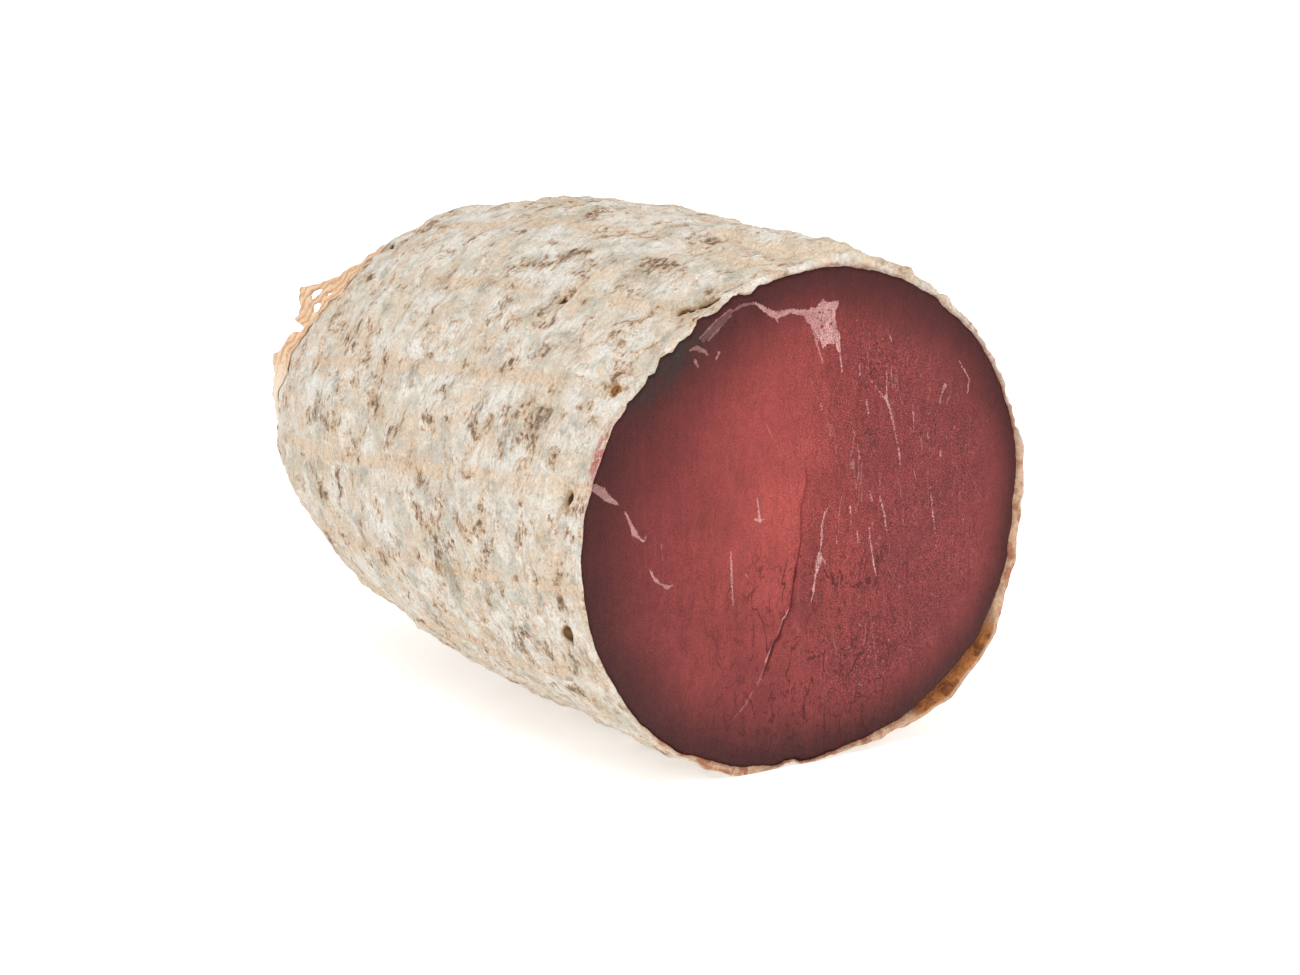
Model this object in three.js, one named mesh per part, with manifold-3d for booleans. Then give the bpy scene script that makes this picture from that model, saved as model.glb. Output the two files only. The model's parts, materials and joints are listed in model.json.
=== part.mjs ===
// Half of a bresaola: an air-dried round of beef in its mouldy rind, cut across the middle.
// Millimetres, +Z up. The piece lies on its side on a small flat spot. Its long axis is Y:
// the cut face looks along -Y and the rounded end is at +Y. Angles go round that axis,
// from 0 at +X through 90 at the top. Until the last lines, the cut face's centre is the origin.
import * as THREE from 'three';
import Module from 'manifold-3d';

const wasm = await Module();
wasm.setup();

// ---- driving dimensions -------------------------------------------------------------------

const CUT_HALF_WIDTH = 59; // the lean meat's cut face, an oval
const CUT_HALF_HEIGHT = 56;
const LENGTH = 174; // from the cut face to the tip of the rounded end
const RIND = 1.5; // the casing and its mould, over the meat
const FLAT_SPOT_DEPTH = 55.2; // how far the flat spot lies under the face's centre

// How each side closes towards the round end: (1 - s^fullness)^(1/bluntness), s = 0 to 1.
// Swell is how much a side bulges past the cut face's size, in the first two thirds.
const FLANK = { fullness: 3.8, bluntness: 4.1, swell: 0.035, size: CUT_HALF_WIDTH + RIND };
const BACK = { fullness: 5.7, bluntness: 1.75, swell: 0.029, size: CUT_HALF_HEIGHT + RIND };
const BELLY = { fullness: 3.8, bluntness: 2.5, swell: -0.012, size: CUT_HALF_HEIGHT + RIND };
const SWELL_SPAN = 0.7;

// [angle, millimetres] round the cut: how far each line lies outside the meat's plain oval.
const MEAT_EDGE = [
  [12, -0.5], [48, 0.2], [78, 0.5], [108, -1.0], [126, -1.6], [150, -0.7], [176, 0], [203, 0.5],
  [228, 1.4], [262, -0.8], [278, -1.6], [304, -0.8], [324, 0.2], [357, -1.6],
];
const CASING_EDGE = [
  [5, 1.4], [27, 0.8], [42, 1.4], [61, 2.5], [74, 3.4], [83, 3.4], [98, 1.2], [126, -0.7],
  [150, 0.1], [176, 0.7], [203, 1.2], [224, 2.2], [238, 1.0], [246, 1.6], [254, 2.4],
  [268, 0.4], [280, -0.7], [294, 0.7], [303, 2.7], [309, 4.1], [325, 4.1], [336, 1.8],
  [352, 0.8],
];
const MIN_CASING = 0.55; // the casing is never thinner than this at the cut
const CASING_SKIN = 0.9; // thickness of the casing where it has lifted off the meat
const LIP_PROUD = 0.5; // the casing's edge stands this far in front of the cut
const LIFT_DEPTH = 5; // how deep the gap behind the lifted casing goes
const LIP_BLEND = 13; // the rim's shape fades into the body's over this length

// Single rises and hollows of the body: where, how high, and their half-sizes round and along.
const SWELLS = [
  // The knobbly ridge of hard fat on top, just behind the cut.
  { angle: 80, alongMid: 9, height: 2.2, halfAngle: 9, halfLength: 16, drift: 0.35 },
  // The crown of the back and the flat beside it.
  { angle: 88, alongMid: 63, height: 1.3, halfAngle: 9, halfLength: 10, drift: 0 },
  { angle: 70, alongMid: 60, height: -1.2, halfAngle: 9, halfLength: 16, drift: 0 },
  // The shoulder before the round end, and the hollow where the torn net is rooted.
  { angle: 115, alongMid: 135, height: 1.6, halfAngle: 9, halfLength: 12, drift: 0 },
  { angle: 137, alongMid: 148, height: -1.4, halfAngle: 11, halfLength: 13, drift: 0 },
  // The lower flank.
  { angle: 234, alongMid: 72, height: -1.1, halfAngle: 10, halfLength: 20, drift: 0 },
  { angle: 238, alongMid: 18, height: 0.8, halfAngle: 7, halfLength: 8, drift: 0 },
];

// Relief of the rind: soft lumps, longer round the piece than along it, and the net's prints.
const LUMPS = { height: 0.75, around: 17, along: 11, seed: 41 };
const NET = { cords: 16, firstAngle: 97.5, drift: 0.12, hoopStep: 23, pillow: 0.35 };
const TIP_FADE = 22; // the relief dies out over this length before the tip

// Holes in the rind: where they are, half-sizes along and round, and depth.
const PITS = [
  { along: 6.5, angle: 168.5, half: [1.3, 2.4], depth: 2.6 },
  { along: 9.0, angle: 200.5, half: [1.9, 2.0], depth: 2.0 },
  { along: 5.2, angle: 142.8, half: [1.6, 1.3], depth: 1.8 },
  { along: 6.0, angle: 119.0, half: [1.2, 3.2], depth: 2.0 },
];

// The torn cuff of net and casing round the upper left of the round end. Its root lies on the
// rind along a bowed line, and from there it stands off while the body rounds away under it.
const CUFF_ROOT = { along: 157, angle: 171, bow: 0.0085 };
const CUFF_LAP = 1.8; // how much of it lies on the rind in front of the root line
const CUFF_FLARE = 0.35; // millimetres outwards for each millimetre back
const CUFF_THICKNESS = 0.9;
const CUFF_GAP = 0.3;
// [angle, how far the torn edge reaches back from the root line].
const CUFF_EDGE = [
  [123, 0.4], [126, 0.6], [128, 1.7], [130, 2.8], [132, 4.4], [134, 5.7], [136, 7.2],
  [138, 8.6], [140, 7.5], [142, 5.5], [144, 4.7], [145.6, 4.3], [146.8, 0.7], [148, 1.0],
  [149.2, 2.9], [150.5, 3.0], [152, 2.6], [154, 2.4], [156, 2.7], [158, 4.3], [160, 4.1],
  [162, 3.1], [165, 2.5], [170, 1.6], [175, 0.8], [181, 0.5],
];
const CUFF_HOLES = [
  { angle: 137, back: 4.1, half: [1.2, 1.0] },
  { angle: 140, back: 1.5, half: [1.1, 0.8] },
];

// How finely the solids are faceted.
const SIDES = 100;
const FACE_RINGS = [0.3, 0.6, 0.84, 0.95];
const RIM_STATIONS = [1.8, 4.6, 8.2];
const BODY_STEPS = 22;
const PIT_SIDES = 10;
const PIT_RINGS = 6;
const CUFF_COLUMNS = 44;
const CUFF_ROWS = 5;

// ---- small helpers ------------------------------------------------------------------------

const { degToRad, clamp, lerp, smoothstep, euclideanModulo } = THREE.MathUtils;

/** A smooth curve through [position, value] pairs, closed over `period` when one is given. */
function curveThrough(pairs, period = 0) {
  const ring = period ? [...pairs, [pairs[0][0] + period, pairs[0][1]]] : pairs;
  return (position) => {
    const first = ring[0][0];
    const at = period ? first + euclideanModulo(position - first, period) : position;
    const next = clamp(ring.findIndex(([p]) => p > at), 1, ring.length - 1);
    const [p0, v0] = ring[next - 1];
    const [p1, v1] = ring[next];
    return lerp(v0, v1, smoothstep(at, p0, p1));
  };
}

/** Repeatable random numbers from 0 to 1. */
function randomFrom(seed) {
  let state = seed;
  return () => {
    state = (state * 1664525 + 1013904223) % 4294967296;
    return state / 4294967296;
  };
}

/** Smooth bumps from -1 to 1 on a grid that closes round the piece. */
function bumpField({ around, along, seed }) {
  const random = randomFrom(seed);
  const heights = Array.from({ length: around * (along + 1) }, () => 2 * random() - 1);
  const at = (column, row) => heights[row * around + (column % around)];
  return (turn, s) => {
    const u = euclideanModulo(turn, 1) * around;
    const v = clamp(s, 0, 0.9999) * along;
    const [column, row] = [Math.floor(u), Math.floor(v)];
    const across = smoothstep(u - column, 0, 1);
    const near = lerp(at(column, row), at(column + 1, row), across);
    const far = lerp(at(column, row + 1), at(column + 1, row + 1), across);
    return lerp(near, far, smoothstep(v - row, 0, 1));
  };
}

/** A closed geometry from corner points and triangles. */
function geometryFrom(points, triangles) {
  const geometry = new THREE.BufferGeometry();
  geometry.setAttribute('position', new THREE.Float32BufferAttribute(points.flat(), 3));
  geometry.setIndex(triangles.flat());
  return geometry;
}

/** Joins rings of equal length into a closed skin, with a point at each end. */
function skinOver(startPoint, rings, endPoint) {
  const sides = rings[0].length;
  const points = [startPoint, ...rings.flat(), endPoint];
  const corner = (ring, side) => 1 + ring * sides + (side % sides);
  const triangles = [];
  for (let side = 0; side < sides; side += 1) {
    triangles.push([0, corner(0, side), corner(0, side + 1)]);
    for (let ring = 0; ring + 1 < rings.length; ring += 1) {
      const [a, b] = [corner(ring, side), corner(ring, side + 1)];
      const [c, d] = [corner(ring + 1, side + 1), corner(ring + 1, side)];
      triangles.push([a, c, b], [a, d, c]);
    }
    const last = rings.length - 1;
    triangles.push([points.length - 1, corner(last, side + 1), corner(last, side)]);
  }
  return geometryFrom(points, triangles);
}

/** Turns a closed geometry into a solid that can be cut. */
function toSolid(geometry) {
  return new wasm.Manifold(new wasm.Mesh({
    numProp: 3,
    vertProperties: new Float32Array(geometry.attributes.position.array),
    triVerts: new Uint32Array(geometry.index.array),
  }));
}

/** Turns a cut solid back into a geometry. */
function toGeometry(solid) {
  const { vertProperties, triVerts } = solid.getMesh();
  const geometry = new THREE.BufferGeometry();
  geometry.setAttribute('position', new THREE.BufferAttribute(vertProperties, 3));
  geometry.setIndex(new THREE.BufferAttribute(triVerts, 1));
  return geometry;
}

/** Cuts each tool geometry out of a geometry. */
function cutAway(geometry, tools) {
  return toGeometry(tools.reduce((solid, tool) => solid.subtract(toSolid(tool)), toSolid(geometry)));
}

/** An ellipsoid with given half-sizes, closed at its two poles. */
function ellipsoid([halfX, halfY, halfZ]) {
  const rings = [];
  for (let ring = 1; ring < PIT_RINGS; ring += 1) {
    const polar = (Math.PI * ring) / PIT_RINGS;
    rings.push(Array.from({ length: PIT_SIDES }, (_, side) => {
      const turn = (2 * Math.PI * side) / PIT_SIDES;
      return [
        halfX * Math.sin(polar) * Math.cos(turn),
        halfY * Math.sin(polar) * Math.sin(turn),
        -halfZ * Math.cos(polar),
      ];
    }));
  }
  return skinOver([0, 0, -halfZ], rings.map((ring) => ring.reverse()), [0, 0, halfZ]);
}

// ---- the form of the piece ----------------------------------------------------------------

const meatEdge = curveThrough(MEAT_EDGE, 360);
const casingEdge = curveThrough(CASING_EDGE, 360);
const lumps = bumpField(LUMPS);

/** How wide one side is at a fraction s of the length. */
function sideSize({ fullness, bluntness, swell, size }, s) {
  const bulge = 1 + swell * Math.sin(Math.PI * clamp(s / SWELL_SPAN, 0, 1));
  return size * bulge * (1 - s ** fullness) ** (1 / bluntness);
}

/** A point on the plain body, before any relief. */
function bodyPoint(s, angle) {
  const turn = degToRad(angle);
  const upright = sideSize(Math.sin(turn) >= 0 ? BACK : BELLY, s);
  const x = sideSize(FLANK, s) * Math.cos(turn);
  return new THREE.Vector3(x, s * LENGTH, upright * Math.sin(turn));
}

/** The plain body's outward direction at a point. */
function bodyNormal(s, angle) {
  const step = 0.002;
  const before = clamp(s - step, 0, 0.995);
  const along = bodyPoint(before + step, angle).sub(bodyPoint(before, angle));
  const around = bodyPoint(s, angle + 0.5).sub(bodyPoint(s, angle - 0.5));
  return along.cross(around).normalize();
}

/** Height of one rise or hollow at a place on the rind. */
function swellHeight({ angle, alongMid, height, halfAngle, halfLength, drift }, along, at) {
  const away = euclideanModulo(at - angle - drift * (along - alongMid) + 180, 360) - 180;
  return height * Math.exp(-((away / halfAngle) ** 2) - ((along - alongMid) / halfLength) ** 2);
}

/** Height of the rind's relief above the plain body. */
function rindRelief(s, angle) {
  const along = s * LENGTH;
  const cordPitch = 360 / NET.cords;
  const acrossCords = (angle - NET.firstAngle - NET.drift * along) / cordPitch;
  const acrossHoops = along / NET.hoopStep;
  const pillow = Math.abs(Math.sin(Math.PI * acrossCords) * Math.sin(Math.PI * acrossHoops));
  const tipFade = smoothstep(LENGTH - along, 0, TIP_FADE);
  const soft = tipFade * (LUMPS.height * lumps(angle / 360, s) + NET.pillow * (pillow - 0.5));
  return SWELLS.reduce((height, swell) => height + swellHeight(swell, along, angle), soft);
}

/** A point of the meat's oval, pushed outwards. */
function ovalPoint(angle, outwards, y) {
  const turn = degToRad(angle);
  const reach = Math.hypot(CUT_HALF_WIDTH * Math.cos(turn), CUT_HALF_HEIGHT * Math.sin(turn));
  const scale = 1 + outwards / reach;
  return new THREE.Vector3(
    CUT_HALF_WIDTH * Math.cos(turn) * scale, y, CUT_HALF_HEIGHT * Math.sin(turn) * scale,
  );
}

/** Where the casing ends at the cut, outside the meat's oval. */
function casingOffset(angle) {
  return Math.max(casingEdge(angle), meatEdge(angle) + MIN_CASING);
}

/** A point of the rind, with its relief and the shape that the rim gives it near the cut. */
function rindPoint(s, angle) {
  const along = s * LENGTH;
  const rimShare = 1 - smoothstep(along, 0, LIP_BLEND);
  const point = bodyPoint(s, angle);
  const plain = point.clone().addScaledVector(bodyNormal(s, angle), rindRelief(s, angle));
  return plain.lerp(ovalPoint(angle, casingOffset(angle), along), rimShare);
}

/** Presses a point up to the flat spot, less what lies between it and the floor. */
function restOnFloor(point, cover = 0) {
  return [point.x, point.y, Math.max(point.z, cover - FLAT_SPOT_DEPTH)];
}

/** Angles round the piece, one for each side. */
const ANGLES = Array.from({ length: SIDES }, (_, side) => (360 * side) / SIDES);

/** The cut face, the rim and the rind, as one closed skin. */
function bresaolaGeometry() {
  const ringOf = (place) => ANGLES.map(place);
  const face = [...FACE_RINGS, 1].map((share) => ringOf((angle) => {
    const edge = ovalPoint(angle, meatEdge(angle), 0);
    return restOnFloor(edge.multiplyScalar(share), share * MIN_CASING);
  }));
  const gapWidth = (angle) => casingOffset(angle) - meatEdge(angle);
  const lift = (angle) => smoothstep(gapWidth(angle), 1.6, 3.4);
  const gap = ringOf((angle) => {
    const y = lerp(0.25, LIFT_DEPTH, lift(angle));
    const outwards = meatEdge(angle) + lerp(0.35, 0.5, lift(angle)) * gapWidth(angle);
    return restOnFloor(ovalPoint(angle, outwards, y), MIN_CASING / 2);
  });
  const skin = (angle) => Math.min(CASING_SKIN, 0.4 * gapWidth(angle));
  const lipInside = ringOf((angle) => restOnFloor(
    ovalPoint(angle, casingOffset(angle) - skin(angle), -LIP_PROUD),
    MIN_CASING / 4,
  ));
  const lipOutside = ringOf((angle) => restOnFloor(ovalPoint(angle, casingOffset(angle), 0)));
  const fromRim = Math.asin(RIM_STATIONS.at(-1) / LENGTH);
  const bodyStations = Array.from({ length: BODY_STEPS - 1 }, (_, step) => (
    LENGTH * Math.sin(lerp(fromRim, Math.PI / 2, (step + 1) / BODY_STEPS))
  ));
  const rind = [...RIM_STATIONS, ...bodyStations].map((along) => ringOf((angle) => (
    restOnFloor(rindPoint(along / LENGTH, angle))
  )));
  return skinOver([0, 0, 0], [...face, gap, lipInside, lipOutside, ...rind], [0, LENGTH, 0]);
}

/** A pit's cutting tool: an ellipsoid half sunk in the rind. */
function pitTool({ along, angle, half, depth }) {
  const s = along / LENGTH;
  const normal = bodyNormal(s, angle);
  const lengthwise = new THREE.Vector3(0, 1, 0).projectOnPlane(normal).normalize();
  const frame = new THREE.Matrix4().makeBasis(
    new THREE.Vector3().crossVectors(lengthwise, normal),
    lengthwise,
    normal,
  );
  frame.setPosition(rindPoint(s, angle));
  return ellipsoid([half[1], half[0], depth]).applyMatrix4(frame);
}

/** A point of the cuff, a distance back from its root line and lifted off the sheet's base. */
function cuffPoint(angle, back, lifted) {
  const root = CUFF_ROOT.along - CUFF_ROOT.bow * (angle - CUFF_ROOT.angle) ** 2;
  const s = (root + Math.min(back, 0)) / LENGTH;
  const outwards = bodyNormal(s, angle);
  const upright = outwards.clone().setY(0).normalize();
  const standing = Math.max(back, 0);
  return rindPoint(s, angle)
    .addScaledVector(outwards, CUFF_GAP + lifted)
    .addScaledVector(upright, CUFF_FLARE * standing)
    .add(new THREE.Vector3(0, standing, 0));
}

/** The torn cuff of net: a thin wavy sheet with a ragged edge. */
function cuffGeometry() {
  const edge = curveThrough(CUFF_EDGE);
  const [firstAngle, lastAngle] = [CUFF_EDGE[0][0], CUFF_EDGE.at(-1)[0]];
  const rows = Array.from({ length: CUFF_ROWS + 1 }, (_, row) => row / CUFF_ROWS);
  // Each ring runs round one column's section: out along the top layer, back along the lower.
  const rings = Array.from({ length: CUFF_COLUMNS + 1 }, (_, column) => {
    const angle = lerp(firstAngle, lastAngle, column / CUFF_COLUMNS);
    const layer = (lifted) => rows.map((share) => (
      cuffPoint(angle, lerp(-CUFF_LAP, edge(angle), share), lifted).toArray()
    ));
    return [...layer(CUFF_THICKNESS), ...layer(0).reverse()];
  });
  return ribbonFrom(rings);
}

/** Closes a strip of equal section loops with a flat cap at each end. */
function ribbonFrom(rings) {
  const sides = rings[0].length;
  const half = sides / 2;
  const points = rings.flat();
  const corner = (ring, side) => ring * sides + (side % sides);
  const triangles = [];
  for (let ring = 0; ring + 1 < rings.length; ring += 1) {
    for (let side = 0; side < sides; side += 1) {
      const [a, b] = [corner(ring, side), corner(ring, side + 1)];
      const [c, d] = [corner(ring + 1, side + 1), corner(ring + 1, side)];
      triangles.push([a, b, c], [a, c, d]);
    }
  }
  const last = rings.length - 1;
  for (let row = 0; row + 1 < half; row += 1) {
    const [a, b, c, d] = [row, row + 1, sides - 2 - row, sides - 1 - row];
    triangles.push([a, c, b], [a, d, c]);
    const [e, f, g, h] = [a, b, c, d].map((side) => corner(last, side));
    triangles.push([e, f, g], [e, g, h]);
  }
  return geometryFrom(points, triangles);
}

/** A hole through the cuff. */
function cuffHoleTool({ angle, back, half }) {
  const middle = cuffPoint(angle, back, CUFF_THICKNESS / 2);
  const backwards = cuffPoint(angle, back + 1, CUFF_THICKNESS / 2).sub(middle).normalize();
  const around = cuffPoint(angle + 1, back, CUFF_THICKNESS / 2).sub(middle);
  const normal = new THREE.Vector3().crossVectors(around, backwards).normalize();
  const frame = new THREE.Matrix4().makeBasis(
    new THREE.Vector3().crossVectors(backwards, normal),
    backwards,
    normal,
  );
  frame.setPosition(middle);
  return ellipsoid([half[1], half[0], 2 * CUFF_THICKNESS]).applyMatrix4(frame);
}

// ---- the finished group -------------------------------------------------------------------

const rindColour = new THREE.MeshStandardMaterial({ color: 0xd6cab8, roughness: 0.85, metalness: 0 });
const netColour = new THREE.MeshStandardMaterial({ color: 0xe0b98d, roughness: 0.7, metalness: 0 });

const bresaola = new THREE.Mesh(cutAway(bresaolaGeometry(), PITS.map(pitTool)), rindColour);
bresaola.name = 'bresaola';

const netCuff = new THREE.Mesh(cutAway(cuffGeometry(), CUFF_HOLES.map(cuffHoleTool)), netColour);
netCuff.name = 'net_cuff';

// The origin is under the middle of the whole piece, where it rests.
const group = new THREE.Group();
group.add(bresaola, netCuff);
const box = new THREE.Box3().setFromObject(group, true);
const middle = box.getCenter(new THREE.Vector3());
group.position.set(-middle.x, -middle.y, -box.min.z);
group.updateMatrixWorld(true);

export default group;
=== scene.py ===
"""Half a bresaola: air-dried beef in a mouldy casing, cut across, with a torn scrap of net.

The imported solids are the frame. Dense pieces with the real surface replace them: the rind with
its casing edge, the cut meat with its fat and its seam, and the torn net.

The form is worked out in the cut frame, in millimetres: the origin is the middle of the cut
face, X is to the right of someone who faces the round end, Y runs into the meat and Z is up.
Angles go round the Y axis, in degrees, from 0 at +X through 90 at the top.
"""

from __future__ import annotations

import json
import logging
import math
from collections.abc import Callable, Sequence
from dataclasses import dataclass, field
from enum import Enum

import bpy
import numpy as np
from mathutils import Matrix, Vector
from mathutils.geometry import delaunay_2d_cdt

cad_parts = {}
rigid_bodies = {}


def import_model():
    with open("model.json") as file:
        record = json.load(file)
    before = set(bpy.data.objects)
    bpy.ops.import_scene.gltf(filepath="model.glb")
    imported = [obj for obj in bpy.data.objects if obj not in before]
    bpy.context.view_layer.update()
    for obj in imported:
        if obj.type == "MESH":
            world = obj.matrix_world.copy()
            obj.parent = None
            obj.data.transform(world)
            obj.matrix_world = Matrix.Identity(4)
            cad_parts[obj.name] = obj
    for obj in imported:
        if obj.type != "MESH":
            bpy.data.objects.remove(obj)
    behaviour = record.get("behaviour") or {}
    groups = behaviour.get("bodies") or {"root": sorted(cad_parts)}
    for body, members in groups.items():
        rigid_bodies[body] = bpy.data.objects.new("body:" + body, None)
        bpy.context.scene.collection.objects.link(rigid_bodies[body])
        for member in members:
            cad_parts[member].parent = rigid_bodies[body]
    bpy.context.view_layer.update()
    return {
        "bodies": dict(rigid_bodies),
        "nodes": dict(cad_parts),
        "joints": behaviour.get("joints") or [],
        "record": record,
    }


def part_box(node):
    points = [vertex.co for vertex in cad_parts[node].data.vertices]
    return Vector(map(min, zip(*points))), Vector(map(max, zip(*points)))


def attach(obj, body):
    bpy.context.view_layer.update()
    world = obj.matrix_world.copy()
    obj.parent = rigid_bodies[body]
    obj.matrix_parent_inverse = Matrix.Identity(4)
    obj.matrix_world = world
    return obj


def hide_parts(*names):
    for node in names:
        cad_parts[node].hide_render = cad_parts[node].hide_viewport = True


LOG = logging.getLogger("bresaola")

MM = 0.001
PICTURE_WIDTH = 1300
SENSOR_WIDTH = 36.0

Array = np.ndarray
Pairs = Sequence[tuple[float, float]]
Brush = Sequence[tuple[float, float, float]]
Span = tuple[float, float, float, float]
Rgb = tuple[int, int, int]
Curve = Callable[[Array], Array]
Socket = bpy.types.NodeSocket


# ---- curves, bumps and noise ---------------------------------------------------------------


def smoothstep(value: Array, low: float, high: float) -> Array:
    """A smooth rise from 0 at low to 1 at high."""
    share = np.clip((np.asarray(value, float) - low) / (high - low), 0.0, 1.0)
    return share * share * (3.0 - 2.0 * share)


def fall(value: Array, low: float, high: float) -> Array:
    """A smooth fall from 1 at low to 0 at high."""
    return 1.0 - smoothstep(value, low, high)


def stretch(value: Array, span: Span) -> Array:
    """A smooth rise over a span's first two values, then a fall over its last two."""
    return smoothstep(value, span[0], span[1]) * fall(value, span[2], span[3])


def curve_through(pairs: Pairs, period: float = 0.0) -> Curve:
    """A smooth curve through given points, level at each of them.

    Args:
        pairs: (position, value) in rising order of position.
        period: where positive, the curve closes on itself after this much.

    Returns:
        A function from an array of positions to an array of values.
    """
    ring = list(pairs)
    if period:
        ring.append((ring[0][0] + period, ring[0][1]))
    places = np.array([pair[0] for pair in ring])
    values = np.array([pair[1] for pair in ring])

    def curve(position: Array) -> Array:
        """The curve's values at some positions."""
        at = np.asarray(position, float)
        if period:
            at = places[0] + np.mod(at - places[0], period)
        after = np.clip(np.searchsorted(places, at, side="right"), 1, len(places) - 1)
        low, high = places[after - 1], places[after]
        share = np.clip((at - low) / (high - low), 0.0, 1.0)
        share = share * share * (3.0 - 2.0 * share)
        return values[after - 1] + (values[after] - values[after - 1]) * share

    return curve


class BumpField:
    """The soft lumps of the solid's own relief, on a grid that closes round the piece."""

    FACTOR = 1664525
    STEP = 1013904223
    RANGE = 4294967296

    def __init__(self, around: int, along: int, seed: int) -> None:
        """Draws the lumps' heights, from -1 to 1."""
        self.around = around
        self.along = along
        state = seed
        heights = []
        for _ in range(around * (along + 1)):
            state = (state * self.FACTOR + self.STEP) % self.RANGE
            heights.append(2.0 * state / self.RANGE - 1.0)
        self.heights = np.array(heights).reshape(along + 1, around)

    def at(self, turn: Array, share: Array) -> Array:
        """The lumps' height at a part of a turn and a share of the length."""
        u = np.mod(turn, 1.0) * self.around
        v = np.clip(share, 0.0, 0.9999) * self.along
        column, row = np.floor(u).astype(int), np.floor(v).astype(int)
        across = smoothstep(u - column, 0.0, 1.0)
        here, after = column % self.around, (column + 1) % self.around
        near = self.heights[row, here] * (1 - across) + self.heights[row, after] * across
        far = self.heights[row + 1, here] * (1 - across) + self.heights[row + 1, after] * across
        lift = smoothstep(v - row, 0.0, 1.0)
        return near * (1 - lift) + far * lift


class Noise:
    """Smooth repeatable noise in space, from -1 to 1."""

    CELLS = 32

    def __init__(self, seed: int) -> None:
        """Draws the noise's lattice."""
        self.lattice = np.random.default_rng(seed).uniform(-1, 1, (self.CELLS,) * 3)

    def at(self, points: Array, size: float) -> Array:
        """The noise at points, with bumps about as wide as size."""
        shape = np.shape(points)[:-1]
        scaled = np.reshape(points, (-1, 3)) / size
        cell = np.floor(scaled).astype(int)
        share = scaled - cell
        share = share * share * (3.0 - 2.0 * share)
        total = np.zeros(len(scaled))
        for corner in range(8):
            step = np.array([corner & 1, corner >> 1 & 1, corner >> 2 & 1])
            weight = np.prod(np.where(step, share, 1.0 - share), axis=1)
            index = (cell + step) % self.CELLS
            total += weight * self.lattice[index[:, 0], index[:, 1], index[:, 2]]
        return total.reshape(shape)

    def rough(self, points: Array, size: float, octaves: int) -> Array:
        """Several sizes of the noise added, each half as wide and half as high."""
        layers = [self.at(points + 7.3 * k, size / 2**k) / 2**k for k in range(octaves)]
        return np.sum(layers, axis=0) / sum(0.5**k for k in range(octaves))


@dataclass(frozen=True)
class Bumps:
    """A relief of rough noise: its own seed, its height, its widest bumps and their octaves."""

    seed: int
    height: float
    size: float
    octaves: int

    def at(self, points: Array) -> Array:
        """The relief's height at points."""
        return self.height * Noise(self.seed).rough(points, self.size, self.octaves)


# ---- the form, shared by the pieces --------------------------------------------------------


@dataclass(frozen=True)
class Side:
    """How one side of the body closes towards the round end."""

    fullness: float
    bluntness: float
    swell: float
    size: float

    def reach(self, share: Array) -> Array:
        """The side's distance from the axis at a share of the length."""
        bulge = 1.0 + self.swell * np.sin(np.pi * np.clip(share / 0.7, 0.0, 1.0))
        closing = np.clip(1.0 - share**self.fullness, 0.0, 1.0) ** (1.0 / self.bluntness)
        return self.size * bulge * closing


@dataclass(frozen=True)
class Swell:
    """A single rise or hollow of the body."""

    angle: float
    along: float
    height: float
    half_angle: float
    half_length: float
    drift: float = 0.0

    def at(self, along: Array, angle: Array) -> Array:
        """The swell's share of its full height."""
        middle = self.angle + self.drift * (along - self.along)
        off = np.mod(angle - middle + 180.0, 360.0) - 180.0
        return np.exp(-((off / self.half_angle) ** 2)
                      - ((along - self.along) / self.half_length) ** 2)


@dataclass(frozen=True)
class NetPrint:
    """The prints that the net's cords have left in the rind."""

    cords: int = 16
    first_angle: float = 97.5
    drift: float = 0.12
    hoop_step: float = 23.0
    pillow: float = 0.35

    def across_cords(self, along: Array, angle: Array) -> Array:
        """The place between long cords, a whole number on each of them."""
        return (angle - self.first_angle - self.drift * along) / (360.0 / self.cords)

    def pillows(self, along: Array, angle: Array) -> Array:
        """The height of the rind's soft pillows between the cords."""
        rounded = np.sin(np.pi * self.across_cords(along, angle))
        rounded = np.abs(rounded * np.sin(np.pi * along / self.hoop_step))
        return self.pillow * (rounded - 0.5)


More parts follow.
